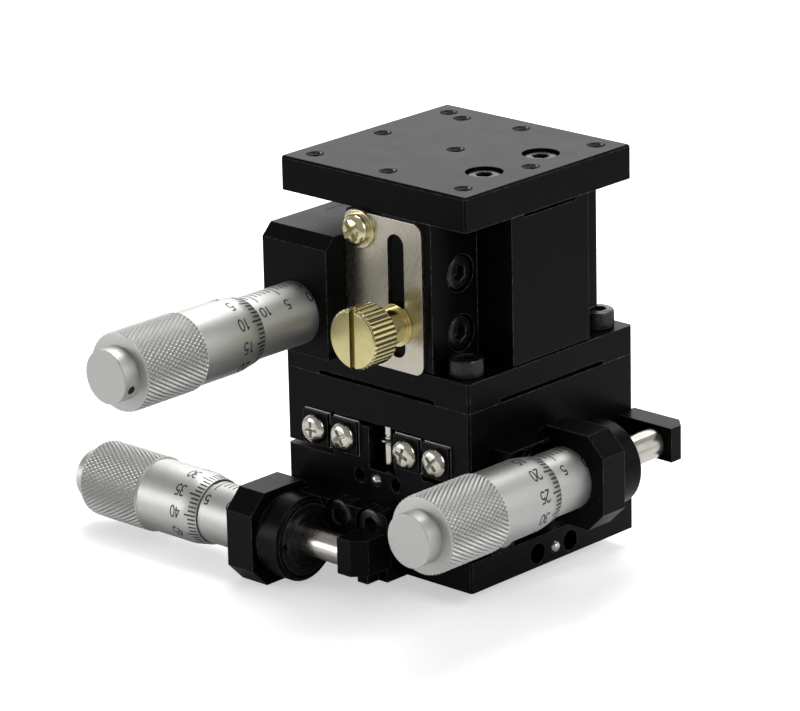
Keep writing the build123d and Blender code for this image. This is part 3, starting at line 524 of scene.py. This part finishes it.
def return_spring(name, along, across, up):
    """A coil is a helix of constant pitch about its axis, and each end loop is a circle in the
    plane of the axis and of the direction across it."""
    low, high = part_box(name)
    centre = (np.array(low) + np.array(high)) / 2
    axis, side, top = (np.array(v, float) for v in (along, across, up))
    length = abs(np.dot(np.array(high - low), axis)) / MM
    reach = length / 2 - LOOP_R - WIRE_R
    half = reach - LOOP_R - 2 * WIRE_R
    turns = round(2 * half / COIL_PITCH)
    angle = np.linspace(0, 2 * np.pi * turns, turns * 20 + 1)
    radial = np.outer(np.sin(angle), side) + np.outer(np.cos(angle), top)
    path = np.outer(np.linspace(-half, half, len(angle)), axis) + COIL_R * radial
    parts = [tube(path, radial, WIRE_R)]
    for end in (-1, 1):
        angle = np.linspace(0.12, 2 * np.pi - 0.3, 40)
        radial = np.outer(-end * np.cos(angle), axis) + np.outer(np.sin(angle), side)
        parts.append(tube(end * reach * axis + LOOP_R * radial, radial, WIRE_R))
        neck = np.linspace(0, 1, 9)[:, None]
        rise = 0.5 + 0.5 * np.cos(np.pi * neck)
        line = end * (half + neck * (reach - LOOP_R - half)) * axis + COIL_R * rise * top
        parts.append(tube(line, np.repeat(side[None, :], 9, 0), WIRE_R))
    points, faces = joined(parts)
    spring = piece(name + "_coil", points * MM + centre, faces, spring_wire, "spring_steel",
                   replaced=name)
    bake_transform(spring)


return_spring("lower_spring", (1, 0, 0), (0, 1, 0), (0, 0, 1))
return_spring("upper_spring", (0, 1, 0), (-1, 0, 0), (0, 0, 1))
return_spring("lift_spring", (0, 0, 1), (0, -1, 0), (1, 0, 0))

# ---------------- micrometer sleeves and end caps
# Sleeves, thimbles and end caps are turned steel, bead blasted and then satin chromed. The
# blast leaves an even fine grain, so the metal looks soft and slightly sandy.


def satin_chrome(tree, where):
    """Bead-blasted satin chrome: cool pale grey, grain of 0.11 mm, faint handling marks."""
    blast = node(tree, "TexNoise", "Fac", {"Vector": where, "Scale": 1 / (0.11 * MM)})
    handled = node(tree, "TexNoise", "Fac", {
        "Vector": where, "Scale": 1 / (2.5 * MM), "Detail": 5.0})
    edge, round_normal = edge_of(tree, 0.1 * MM)
    tone = node(tree, "Mix", 2, {
        0: blast, 6: "#A3A4A1", 7: "#D2D3CF"}, data_type="RGBA")
    # Painted highlight: the edges are mixed towards a paler grey.
    lit = node(tree, "Mix", 2, {0: edge, 6: tone, 7: "#E4E4E1"}, data_type="RGBA")
    # Painted shade: the colour darkens into the knurl's grooves, where shade falls; the mesh's groove
    # value is 1 at their bottom.
    groove = node(tree, "Attribute", "Fac", attribute_name="groove")
    bright = node(tree, "Mix", 2, {0: groove, 6: lit, 7: "#30312F"}, data_type="RGBA")
    rough = node(tree, "MapRange", "Result", {"Value": handled, "To Min": 0.42, "To Max": 0.54})
    bump = node(tree, "Bump", "Normal", {
        "Height": blast, "Distance": 0.006 * MM, "Strength": 0.6, "Normal": round_normal})
    return node(tree, "BsdfPrincipled", "BSDF", {
        "Base Color": bright, "Metallic": 1.0, "Roughness": rough,
        "Normal": bump})


chrome = new_material("bead_blasted_satin_chrome", satin_chrome)
dress(chrome, "x_mic_sleeve", "y_mic_sleeve", "z_mic_sleeve")


def blacken_nose(name, axis, limit):
    """The stem that the ring nut screws on to is blackened: faces past a plane, in metres."""
    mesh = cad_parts[name].data
    centre = np.empty(3 * len(mesh.polygons))
    mesh.polygons.foreach_get("center", centre)
    mesh.materials.append(black_oxide)
    past = (centre.reshape(-1, 3)[:, axis] > limit).astype(np.int32)
    mesh.polygons.foreach_set("material_index", past)


blacken_nose("x_mic_sleeve", 0, -0.0195)
blacken_nose("y_mic_sleeve", 1, -0.0062)

NOSE_RINGS = (3.25, 4.45)
NOSE_RIM = 0.16
RIM_SIDES = 10


def nose_rings(place, direction):
    """Two rims stand on the stem's end: each is a circle carried round the axis."""
    around = np.linspace(0, 2 * np.pi, 72, endpoint=False)
    section = np.linspace(0, 2 * np.pi, RIM_SIDES, endpoint=False)[:, None]
    parts = []
    for ring in NOSE_RINGS:
        radius = ring + NOSE_RIM * np.cos(section)
        height = np.broadcast_to(NOSE_RIM * np.sin(section), (RIM_SIDES, len(around)))
        points = np.stack([radius * np.cos(around), radius * np.sin(around), height], -1)
        points = points.reshape(-1, 3)
        parts.append((placed(points, place, direction), band(RIM_SIDES, len(around), closed=True)))
    return joined(parts)


points, faces = nose_rings((-8.12, -28.1, 5.0), (1, 0, 0))
piece("x_nose_rings", points, faces, black_oxide, "black_oxide", "x_carriage")
points, faces = nose_rings((28.1, 4.78, 17.8), (0, 1, 0))
piece("y_nose_rings", points, faces, black_oxide, "black_oxide", "y_carriage")

# ---------------- spindles, balls, fork and axle
# Spindles are hardened, ground and lapped, so they mirror in long streaks. The two bore
# balls, the lift fork and its axle are polished in the same way.


def lapped_steel(tree, where):
    """Lapped steel: bright, with lapping rings about 0.1 mm apart."""
    rings = node(tree, "TexNoise", "Fac", {"Vector": where, "Scale": 1 / (0.1 * MM), "Detail": 1.0})
    film = node(tree, "TexNoise", "Fac", {"Vector": where, "Scale": 1 / (1.5 * MM), "Detail": 3.0})
    tone = node(tree, "Mix", 2, {
        0: film, 6: "#B9B5AC", 7: "#D5D2CB"}, data_type="RGBA")
    rough = node(tree, "MapRange", "Result", {"Value": rings, "To Min": 0.18, "To Max": 0.32})
    return node(tree, "BsdfPrincipled", "BSDF", {
        "Base Color": tone, "Metallic": 1.0, "Roughness": rough})


lapped = new_material("lapped_steel", lapped_steel)
dress(lapped, "base_ball", "middle_ball", "lift_fork", "lift_axle")

SPINDLE_R = 2.49
ROUND = np.linspace(0, 2 * np.pi, 72, endpoint=False)
HEADS = {
    "x": {"axis": 0, "out": (0, -1, 0), "sleeve": "x_carriage", "drive": "x_drive"},
    "y": {"axis": 1, "out": (1, 0, 0), "sleeve": "y_carriage", "drive": "y_drive"},
    "z": {"axis": 1, "out": (1, 0, 0), "sleeve": "y_carriage", "drive": "z_drive"},
}


def axis_of(name):
    """A piece's far end on its head's axis in mm, the axis's direction, and its length."""
    low, high = (np.array(corner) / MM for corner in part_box(name))
    axis = HEADS[name[0]]["axis"]
    centre = (low + high) / 2
    direction = np.zeros(3)
    direction[axis] = 1.0
    centre[axis] = high[axis]
    return centre, direction, high[axis] - low[axis]


for head in HEADS:
    tip, direction, length = axis_of(head + "_spindle")
    rows = [(0, 0), (0, 2.1), (-0.05, 2.2), (-0.3, SPINDLE_R), (-length + 0.1, SPINDLE_R)]
    points, faces = lathe(rows + [(-length, SPINDLE_R - 0.1), (-length, 0)], ROUND)
    piece(head + "_spindle_ground", placed(points, tip, direction), faces, lapped,
          "polished_steel", HEADS[head]["drive"], head + "_spindle", 30)

# ---------------- micrometer thimbles
# Each thimble is one turning: a bevelled front, a smooth barrel, and a wider grip with a
# diamond knurl rolled in by two crossed wheels. It is blasted and chromed like the sleeve.

BORE_R = 5.3
LIP_R = 5.55
BARREL_R = 6.1
GRIP_R = 6.5
BEVEL_END = 3.2          # distances behind the lip
BARREL_END = 13.3
GRIP_END = 26.6
WALL_END = 24.6
SPINDLE_HOLE_R = 2.55
KNURL_TEETH = 53
KNURL_DEPTH = 0.34
KNURL_LEAN = math.radians(32)
STEPS_PER_TOOTH = 8


def head_points(name, back, angle, radius):
    """Polar to room coordinates for one head: back is the distance behind the lip, and the
    angle runs from straight up to the side that is read. Distances in mm, result in metres."""
    low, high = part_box(name + "_thimble")
    axis = HEADS[name]["axis"]
    direction = np.zeros(3)
    direction[axis] = -1.0
    origin = (np.array(low) + np.array(high)) / 2
    origin[axis] = high[axis]
    back, angle, radius = np.broadcast_arrays(back, angle, radius)
    side = np.array(HEADS[name]["out"], float)
    up = np.array([0.0, 0.0, 1.0])
    place = back[..., None] * direction + (radius * np.sin(angle))[..., None] * side
    return origin + (place + (radius * np.cos(angle))[..., None] * up) * MM


def wave(phase):
    """A triangle wave: 0 at whole numbers, 1 halfway between them."""
    return 1 - np.abs(2 * (phase % 1) - 1)


def thimble(name):
    """The outline is carried once round the axis. On the grip, the radius drops by the knurl's
    depth towards two crossed families of V grooves: height = the lower of two triangle waves
    whose phases grow with the angle and with plus or minus the distance along the axis."""
    tooth = 2 * math.pi * GRIP_R / KNURL_TEETH
    lead = tooth / math.tan(KNURL_LEAN)
    step = lead / STEPS_PER_TOOTH
    grip = np.arange(BARREL_END + 0.3, GRIP_END - 0.16, step)
    front = [(0.3, BORE_R), (0, BORE_R + 0.03), (0, LIP_R - 0.05), (0.06, LIP_R)]
    front += [(BEVEL_END, BARREL_R), (BARREL_END - 0.04, BARREL_R)]
    front += [(BARREL_END, BARREL_R + 0.04), (BARREL_END, GRIP_R - 0.32)]
    front += [(BARREL_END + 0.04, GRIP_R - 0.28), (BARREL_END + 0.2, GRIP_R - 0.12)]
    rear = [(GRIP_END - 0.02, GRIP_R - 0.24), (GRIP_END, GRIP_R - 0.32)]
    rear += [(GRIP_END, SPINDLE_HOLE_R + 0.1), (GRIP_END - 0.1, SPINDLE_HOLE_R)]
    rear += [(WALL_END, SPINDLE_HOLE_R), (WALL_END, BORE_R)]
    knurled = np.column_stack([grip, np.full(len(grip), GRIP_R)])
    outline = np.concatenate([np.array(front), knurled, np.array(rear)])
    columns = KNURL_TEETH * STEPS_PER_TOOTH
    turn = np.arange(columns) / columns
    back = np.repeat(outline[:, :1], columns, 1)
    radius = np.repeat(outline[:, 1:], columns, 1)
    along = (back - grip[0]) / lead
    height = np.minimum(wave(KNURL_TEETH * turn + along), wave(KNURL_TEETH * turn - along))
    height = np.minimum(height / 0.85, 1)
    first, last = len(front), len(front) + len(grip)
    radius[first:last] -= KNURL_DEPTH * (1 - height[first:last])
    points = head_points(name, back, 2 * np.pi * turn[None, :], radius).reshape(-1, 3)
    made = piece(name + "_thimble_turned", points, band(len(outline), columns, closed=True), chrome,
                 "satin_chrome", HEADS[name]["drive"], name + "_thimble", 30)
    # Painted shade for the knurl: 0.8 at the foot of the grooves, fading to none part way up their
    # sides.
    groove = np.zeros(radius.shape)
    groove[first:last] = np.clip(0.8 - 2.2 * height[first:last], 0, 0.8)
    value = made.data.attributes.new("groove", "FLOAT", "POINT").data
    value.foreach_set("value", groove.reshape(-1))


for head in HEADS:
    thimble(head)

# ---------------- end caps
# A turned cap closes the back of each thimble. A set screw in its side, seen as a small dark
# socket, pins the thimble to the spindle.

CAP_R = 4.4


def dark_hole(tree, where):
    """A flush disc for the set screw in its hole: dull black, partly the black screw and partly
    painted shade of the hole and socket, a little lighter where the key has rubbed.
    """
    rub = node(tree, "TexNoise", "Fac", {"Vector": where, "Scale": 1 / (0.4 * MM)})
    tone = node(tree, "Mix", 2, {
        0: rub, 6: "#020202", 7: "#1C1C1C"}, data_type="RGBA")
    return node(tree, "BsdfPrincipled", "BSDF", {"Base Color": tone, "Roughness": 0.6, "IOR": 1.3})


hole_black = new_material("set_screw_and_painted_hole_shade", dark_hole)
SET_SCREW_ANGLE = math.radians(112)
SET_SCREW_R = 0.78

for head in HEADS:
    back, direction, length = axis_of(head + "_end_cap")
    rows = [(0, 0), (0, CAP_R), (0.12 - length, CAP_R), (-length, CAP_R - 0.14), (-length, 0)]
    points, faces = lathe(rows, ROUND)
    piece(head + "_end_cap_turned", placed(points, back, direction), faces, chrome,
          "satin_chrome", HEADS[head]["drive"], head + "_end_cap", 30)
    turned = SET_SCREW_ANGLE if head == "z" else -SET_SCREW_ANGLE
    side = np.array(HEADS[head]["out"], float) * math.sin(turned)
    side[2] = math.cos(SET_SCREW_ANGLE)
    rows = [(-0.9, 0), (-0.9, SET_SCREW_R), (-0.03, SET_SCREW_R), (0.04, SET_SCREW_R - 0.07)]
    points, faces = lathe(rows + [(0.04, 0)], ROUND[::3])
    hole = np.array(back) - direction * length / 2 + side * CAP_R
    # A flush dark disc stands for the set screw in its hole: the black screw, and painted shade for
    # the hole and socket.
    piece(head + "_set_screw", placed(points, hole, side), faces, hole_black, "black_oxide",
          HEADS[head]["drive"], crease=30)

# ---------------- graduations and numbers
# Lines and plain numbers are cut 0.1 mm deep and filled with black enamel. The sleeve has a
# line for each millimetre, and the thimble has fifty divisions, numbered in fives.

STROKE = 0.24
PROUD = 0.012
ROOT = 0.06              # how far the enamel goes into the metal
DIGIT_H = 1.62
DIGIT_W = 0.58           # width over height
SLEEVE_R = 5.2
TRAVEL = 13
DIVISIONS = 50
INDEX_ANGLE, HALF_TIP, WHOLE_TIP, FIFTH_TIP, SLEEVE_NUMBER = np.radians((-32, -58, 10, 24, 47))
LINE_START, SHORT_LINE, LONG_LINE, NUMBER_AT = 0.12, 1.6, 2.3, 4.3


def bow(cx, cy, rx, ry, start, end):
    """Part of an ellipse in a digit's unit square, from start to end in degrees."""
    turn = np.radians(np.linspace(start, end, 22))
    return np.column_stack([cx + rx * np.cos(turn), cy + ry * np.sin(turn)])


def straight(x0, y0, x1, y1):
    """A straight stroke, with points close enough to be wrapped round a cylinder."""
    return np.column_stack([np.linspace(x0, x1, 9), np.linspace(y0, y1, 9)])


DIGITS = {
    "0": [bow(0.29, 0.5, 0.27, 0.5, 0, 360)],
    "1": [straight(0.12, 0.78, 0.33, 1.0), straight(0.33, 1.02, 0.33, 0.0)],
    "2": [bow(0.29, 0.71, 0.27, 0.29, 165, -35), straight(0.51, 0.55, 0.03, 0.02),
          straight(0.0, 0.0, 0.58, 0.0)],
    "3": [bow(0.28, 0.76, 0.24, 0.24, 150, -90), bow(0.28, 0.26, 0.28, 0.26, 90, -150)],
    "4": [straight(0.43, 0.0, 0.43, 1.02), straight(0.43, 1.0, 0.0, 0.3),
          straight(-0.03, 0.3, 0.58, 0.3)],
    "5": [straight(0.53, 1.0, 0.1, 1.0), straight(0.12, 1.03, 0.06, 0.53),
          bow(0.28, 0.32, 0.28, 0.32, 142, -150)],
}


def number(text, back, arc):
    """The strokes of a number centred on a place: x runs along the axis, y round it, in mm."""
    pitch = (DIGIT_W + 0.1) * DIGIT_H
    width = pitch * (len(text) - 1) + DIGIT_W * DIGIT_H
    strokes = []
    for index, digit in enumerate(text):
        corner = np.array([back - width / 2 + index * pitch, arc - DIGIT_H / 2])
        strokes += [corner + stroke * DIGIT_H for stroke in DIGITS[digit]]
    return strokes


def enamel(name, owner, strokes, radius_at, body):
    """Each stroke is a flat bar of enamel: its centre line is widened both ways and wrapped
    round the axis, with its top just proud of the metal and its foot below it."""
    parts = []
    for stroke in strokes:
        along = np.gradient(stroke, axis=0)
        along /= np.linalg.norm(along, axis=1, keepdims=True)
        offset = np.column_stack([-along[:, 1], along[:, 0]]) * STROKE / 2
        sides = np.stack([stroke + offset, stroke - offset, stroke - offset, stroke + offset], 1)
        lift = np.array([PROUD, PROUD, -ROOT, -ROOT])[None, :]
        radius = radius_at(sides[..., 0])
        points = head_points(owner, sides[..., 0], sides[..., 1] / SLEEVE_R, radius + lift)
        last = (len(stroke) - 1) * 4
        faces = band(len(stroke), 4) + [[3, 2, 1, 0], [last, last + 1, last + 2, last + 3]]
        points = points.reshape(-1, 3)
        parts.append((points, outward(points - points.mean(0), faces)))
    points, faces = joined(parts)
    piece(name, points, faces, dial_black, "black_oxide", body, crease=30)


def dial_enamel(tree, where):
    """Filled enamel: soft black, slightly glossy, with tiny pale gaps where it has chipped."""
    chips = node(tree, "TexNoise", "Fac", {"Vector": where, "Scale": 1 / (0.2 * MM)})
    few = node(tree, "MapRange", "Result", {
        "Value": chips, "From Min": 0.62, "From Max": 0.75, "To Max": 0.5})
    colour = node(tree, "Mix", 2, {
        0: few, 6: "#080808", 7: "#4A4B49"}, data_type="RGBA")
    rough = node(tree, "MapRange", "Result", {"Value": chips, "To Min": 0.35, "To Max": 0.55})
    return node(tree, "BsdfPrincipled", "BSDF", {
        "Base Color": colour, "Roughness": rough})


dial_black = new_material("dial_filling_enamel", dial_enamel)


def sleeve_radius(back):
    """The sleeve is a plain cylinder."""
    return np.full_like(back, SLEEVE_R)


def thimble_radius(back):
    """The bevel widens evenly from the lip to the barrel."""
    return LIP_R + (BARREL_R - LIP_R) * np.clip(back / BEVEL_END, 0, 1)


def dial(name, reading, division):
    """Marks of one head at rest: the reading in mm on the sleeve, and the thimble's division
    that faces the index line. Arc lengths are taken on the sleeve's own radius."""
    index = INDEX_ANGLE * SLEEVE_R
    strokes = [straight(-reading, index, TRAVEL - reading, index)]
    for mark in range(2 * TRAVEL + 1):
        at = mark / 2 - reading
        tip = HALF_TIP if mark % 2 else WHOLE_TIP if mark % 10 else FIFTH_TIP
        strokes.append(straight(at, index, at, tip * SLEEVE_R))
        if mark % 10 == 0:
            strokes += number(str(mark // 2), at, SLEEVE_NUMBER * SLEEVE_R)
    enamel(name + "_sleeve_marks", name, strokes, sleeve_radius, HEADS[name]["sleeve"])
    strokes = []
    for mark in range(DIVISIONS):
        arc = (INDEX_ANGLE + 2 * math.pi * (mark - division) / DIVISIONS) * SLEEVE_R
        strokes.append(straight(LINE_START, arc, SHORT_LINE if mark % 5 else LONG_LINE, arc))
        if mark % 5 == 0:
            strokes += number(str(mark), NUMBER_AT, arc)
    enamel(name + "_thimble_marks", name, strokes, thimble_radius, HEADS[name]["drive"])


dial("x", 6.24, 24)
dial("y", 7.6, 10)
dial("z", 11.975, 47.5)

# ---------------- clamp plate and lock screw
# The lift is locked by a slotted plate of brushed stainless sheet under a brass thumbscrew.
# The plate hangs on a yellow zinc screw, and the thumbscrew is turned, slotted and lacquered.


def brushed_stainless(tree, where):
    """Brushed sheet: hair lines 0.09 mm apart run down it, a little warm in places."""
    stretched = node(tree, "Mapping", "Vector", {"Vector": where, "Scale": (1.0, 1.0, 0.06)})
    hair = node(tree, "TexNoise", "Fac", {
        "Vector": stretched, "Scale": 1 / (0.09 * MM), "Detail": 3.0})
    broad = node(tree, "TexNoise", "Fac", {"Vector": where, "Scale": 1 / (6 * MM), "Detail": 1.0})
    round_normal = edge_of(tree, 0.12 * MM)[1]
    tone = node(tree, "Mix", 2, {
        0: hair, 6: "#A09D92", 7: "#D9D6CB"}, data_type="RGBA")
    warm = node(tree, "Mix", 2, {0: broad, 6: tone, 7: "#D2C9B6"}, data_type="RGBA")
    rough = node(tree, "MapRange", "Result", {"Value": hair, "To Min": 0.18, "To Max": 0.36})
    bump = node(tree, "Bump", "Normal", {
        "Height": hair, "Distance": 0.004 * MM, "Strength": 0.6, "Normal": round_normal})
    return node(tree, "BsdfPrincipled", "BSDF", {
        "Base Color": warm, "Metallic": 1.0, "Roughness": rough,
        "Normal": bump})


def turned_brass(tree, where):
    """Pale lacquered brass: greenish yellow, tool marks 0.12 mm apart, with painted shade in the
    flutes and a painted highlight on the edges.
    """
    turning = node(tree, "TexNoise", "Fac", {"Vector": where, "Scale": 1 / (0.12 * MM)})
    cast = node(tree, "TexNoise", "Fac", {"Vector": where, "Scale": 1 / (2 * MM)})
    edge, round_normal = edge_of(tree, 0.12 * MM)
    tone = node(tree, "Mix", 2, {
        0: cast, 6: "#CFC07E", 7: "#E6DDAC"}, data_type="RGBA")
    # Painted highlight: the edges are mixed towards a paler yellow.
    lit = node(tree, "Mix", 2, {0: edge, 6: tone, 7: "#F6EFC4"}, data_type="RGBA")
    # Painted shade: the colour darkens towards the foot of the flutes.
    groove = node(tree, "Attribute", "Fac", attribute_name="groove")
    bright = node(tree, "Mix", 2, {0: groove, 6: lit, 7: "#2E2409"}, data_type="RGBA")
    rough = node(tree, "MapRange", "Result", {"Value": turning, "To Min": 0.14, "To Max": 0.3})
    return node(tree, "BsdfPrincipled", "BSDF", {
        "Base Color": bright, "Metallic": 1.0, "Roughness": rough,
        "Normal": round_normal})


def yellow_zinc(tree, where):
    """Chromated zinc: pale gold that shifts towards green and rose in patches of 1 mm."""
    shift = node(tree, "TexNoise", "Fac", {"Vector": where, "Scale": 1 / (1 * MM)})
    round_normal = edge_of(tree, 0.15 * MM)[1]
    tone = node(tree, "Mix", 2, {
        0: shift, 6: "#D3CDA6", 7: "#E6DCBC"}, data_type="RGBA")
    rough = node(tree, "MapRange", "Result", {"Value": shift, "To Min": 0.12, "To Max": 0.28})
    return node(tree, "BsdfPrincipled", "BSDF", {
        "Base Color": tone, "Metallic": 1.0, "Roughness": rough,
        "Normal": round_normal})


dress(new_material("brushed_stainless_sheet", brushed_stainless), "clamp_plate")
brass = new_material("lacquered_turned_brass", turned_brass)
dress(brass, "lock_screw")

zinc = new_material("yellow_chromated_zinc", yellow_zinc)
CLAMP_SCREW = (2.6, 1.8, 1.5, 6.0, 1.7, 0.42)
CLAMP_PLACE = (-2.1, -20.6, 57.0)
WASHER_H = 0.5
washer = lathe([(0, 0), (0, 3.15), (0.1, 3.2), (0.4, 3.2), (WASHER_H, 3.1), (WASHER_H, 0)], ROUND)
head = cross_screw(*CLAMP_SCREW)
seat = np.array(CLAMP_PLACE) - (0, WASHER_H, 0)
parts = [(placed(washer[0], CLAMP_PLACE, (0, -1, 0)), washer[1]),
         (placed(head[0], seat, (0, -1, 0), math.radians(38)), head[1])]
points, faces = joined(parts)
piece("clamp_screw_turned", points, faces, zinc, "yellow_zinc", "y_carriage", "clamp_screw", 34)

KNOB_AXIS = (5.45, 42.5)
KNOB_SEAT_Y = -22.9      # the head stands proud of this plane on a longer neck
KNOB_RISE = 2.1
RIDGE_DEPTH = 0.28


def lock_knob():
    """The solid's own points, welded: the head is moved out along the axis by KNOB_RISE, and the
    whole screw is turned a quarter so that the slot stands upright."""
    points, faces = welded("lock_screw")
    out = points[:, 1] < KNOB_SEAT_Y
    points[:, 1] -= np.where(out, KNOB_RISE, 0)
    x, z = points[:, 0] - KNOB_AXIS[0], points[:, 2] - KNOB_AXIS[1]
    turned = np.column_stack([KNOB_AXIS[0] - z, points[:, 1], KNOB_AXIS[1] + x])
    return turned * MM, faces


def darken_flutes(mesh, points):
    """The groove value, which paints shade into the flutes, is 1 at their foot, on the head's side
    faces alone.
    """
    corner = np.zeros(len(mesh.loops), int)
    mesh.loops.foreach_get("vertex_index", corner)
    normal = np.zeros((len(mesh.polygons), 3))
    mesh.polygons.foreach_get("normal", normal.reshape(-1))
    count = np.zeros(len(mesh.polygons), int)
    mesh.polygons.foreach_get("loop_total", count)
    reach = np.hypot(points[:, 0] / MM - KNOB_AXIS[0], points[:, 2] / MM - KNOB_AXIS[1])
    outer = reach.max()
    valley = np.clip((outer - reach) / RIDGE_DEPTH, 0, 1) * (reach > outer - 2 * RIDGE_DEPTH)
    valley = valley[corner] * (np.abs(np.repeat(normal[:, 1], count)) < 0.5)
    mesh.attributes.new("groove", "FLOAT", "CORNER").data.foreach_set("value", valley)


points, faces = lock_knob()
made = piece("lock_screw_turned", points, faces, brass, "brass", "lock", "lock_screw", 25)
darken_flutes(made.data, points)

# ---------------- floor and backdrop
# The stage stands on a white sheet in front of a white sweep. Both are lifted to white for
# the camera, and the sweep also for reflections, while the floor keeps the soft shadows.

FLOOR_HALF = 3.0
SWEEP_R = 1.6
SWEEP_H = 1.1
SWEEP_COLUMNS = 48
floor_z = min(cad_low.z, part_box("x_mic_holder")[0].z)


def white_sheet(tree, where):
    """White paper. Near the object its lit colour shows, and further off it goes to plain white
    for the camera and to grey for reflections, as a bench that ends would look."""
    ray = node(tree, "LightPath")
    paper = node(tree, "TexNoise", "Fac", {"Vector": where, "Scale": 1 / (2 * MM), "Detail": 3.0})
    tone = node(tree, "Mix", 2, {
        0: paper, 6: "#E9EAEC", 7: "#F2F2F2"}, data_type="RGBA")
    far = node(tree, "VectorMath", "Value", {0: where}, operation="LENGTH")
    room = node(tree, "MapRange", "Result", {
        "Value": far, "From Min": 0.09, "From Max": 0.4, "To Max": 0.6})
    dim = node(tree, "Math", "Value", {
        0: ray.outputs["Is Glossy Ray"], 1: room}, operation="MULTIPLY")
    shown = node(tree, "Mix", 2, {0: dim, 6: tone, 7: "#000000"}, data_type="RGBA")
    diffuse = node(tree, "BsdfDiffuse", "BSDF", {"Color": shown})
    fade = node(tree, "MapRange", "Result", {
        "Value": far, "From Min": 0.12, "From Max": 0.45, "To Min": 0.5, "To Max": 0.9})
    strength = node(tree, "Math", "Value", {
        0: ray.outputs["Is Camera Ray"], 1: fade}, operation="MULTIPLY")
    glow = node(tree, "Emission", "Emission", {"Strength": strength})
    return node(tree, "AddShader", "Shader", {0: diffuse, 1: glow})


def white_sweep(tree, where):
    """White cloth behind: strength 1 to the camera and to reflections, dimmer as a light."""
    ray = node(tree, "LightPath")
    seen = node(tree, "Math", "Value", {
        0: ray.outputs["Is Camera Ray"], 1: ray.outputs["Is Glossy Ray"]}, operation="ADD")
    through = node(tree, "Math", "Value", {
        0: seen, 1: ray.outputs["Is Transmission Ray"]}, operation="ADD")
    strength = node(tree, "MapRange", "Result", {"Value": through, "To Min": 0.5, "To Max": 1.0})
    return node(tree, "Emission", "Emission", {"Strength": strength})


def stage_piece(name, points, faces, material):
    """A stage object, which isn't part of the thing itself."""
    mesh = bpy.data.meshes.new(name)
    mesh.from_pydata(points.tolist(), [], faces)
    mesh.materials.append(material)
    made = bpy.data.objects.new(name, mesh)
    bpy.context.scene.collection.objects.link(made)


corners = np.array([(-1, -1, 0), (1, -1, 0), (1, 1, 0), (-1, 1, 0)]) * FLOOR_HALF + (0, 0, floor_z)
stage_piece("floor", corners, [[0, 1, 2, 3]], new_material("white_paper", white_sheet))
turn = np.radians(np.linspace(-5, 185, SWEEP_COLUMNS))
foot = np.column_stack([SWEEP_R * np.cos(turn), SWEEP_R * np.sin(turn),
                        np.full(SWEEP_COLUMNS, floor_z)])
sweep = np.concatenate([foot, foot + (0, 0, SWEEP_H)])
walls = [[i, i + 1, i + 1 + SWEEP_COLUMNS, i + SWEEP_COLUMNS] for i in range(SWEEP_COLUMNS - 1)]
stage_piece("sweep", sweep, walls, new_material("white_sweep", white_sweep))

# ---------------- lamps, world and camera
# A large softbox hangs above, two more light the front and the upper right, a weak one stands
# behind, and the room fills the rest. The camera looks down 18 degrees through a long lens.


LAMP_AIM = (0, 0, 0.03)


def softbox(name, place, size, power):
    """A square area lamp that faces the middle of the stage."""
    lamp = bpy.data.lights.new(name, "AREA")
    lamp.size = size
    lamp.energy = power
    made = bpy.data.objects.new(name, lamp)
    aim = (Vector(LAMP_AIM) - Vector(place)).to_track_quat("-Z", "Y")
    made.matrix_world = Matrix.Translation(place) @ aim.to_matrix().to_4x4()
    bpy.context.scene.collection.objects.link(made)


softbox("overhead_softbox", (-0.2, 0.35, 0.8), 0.6, 6.4)
softbox("rear_softbox", (-0.62, 0.72, 0.42), 0.55, 0.8)
softbox("right_softbox", (0.95, 0.05, 0.6), 0.5, 4.0)
softbox("front_softbox", (-0.65, -0.8, 0.16), 0.5, 3.3)

world = bpy.data.worlds.new("room")
world.use_nodes = True
bpy.context.scene.world = world
world.node_tree.nodes.clear()
ray = node(world.node_tree, "LightPath")
room = node(world.node_tree, "MapRange", "Result", {
    "Value": ray.outputs["Is Camera Ray"], "To Min": 0.42, "To Max": 1.0})
background = node(world.node_tree, "Background", "Background", {"Strength": room})
node(world.node_tree, "OutputWorld", None, {"Surface": background})

SENSOR = 36.0
FOCAL_PIXELS = 4579.95
IMAGE_WIDTH = 800
AZIMUTH, ELEVATION, ROLL = (math.radians(v) for v in (43.11, 18.31, -1.28))
DISTANCE = 747.43
AIM = Vector((0, 0, 32))
AIM_RIGHT, AIM_UP = -9.71, -0.85

forward = Vector((-math.sin(AZIMUTH) * math.cos(ELEVATION), math.cos(AZIMUTH) * math.cos(ELEVATION),
                  -math.sin(ELEVATION)))
level = Vector((math.cos(AZIMUTH), math.sin(AZIMUTH), 0))
above = level.cross(forward)
right = math.cos(ROLL) * level + math.sin(ROLL) * above
up = -math.sin(ROLL) * level + math.cos(ROLL) * above
eye = (AIM + AIM_RIGHT * level + AIM_UP * above - DISTANCE * forward) * MM
lens = bpy.data.cameras.new("camera")
lens.sensor_width = SENSOR
lens.lens = FOCAL_PIXELS * SENSOR / IMAGE_WIDTH
camera = bpy.data.objects.new("camera", lens)
camera.matrix_world = Matrix.Translation(eye) @ Matrix((right, up, -forward)).transposed().to_4x4()
bpy.context.scene.collection.objects.link(camera)
bpy.context.scene.camera = camera
bpy.context.scene.view_settings.view_transform = "Standard"
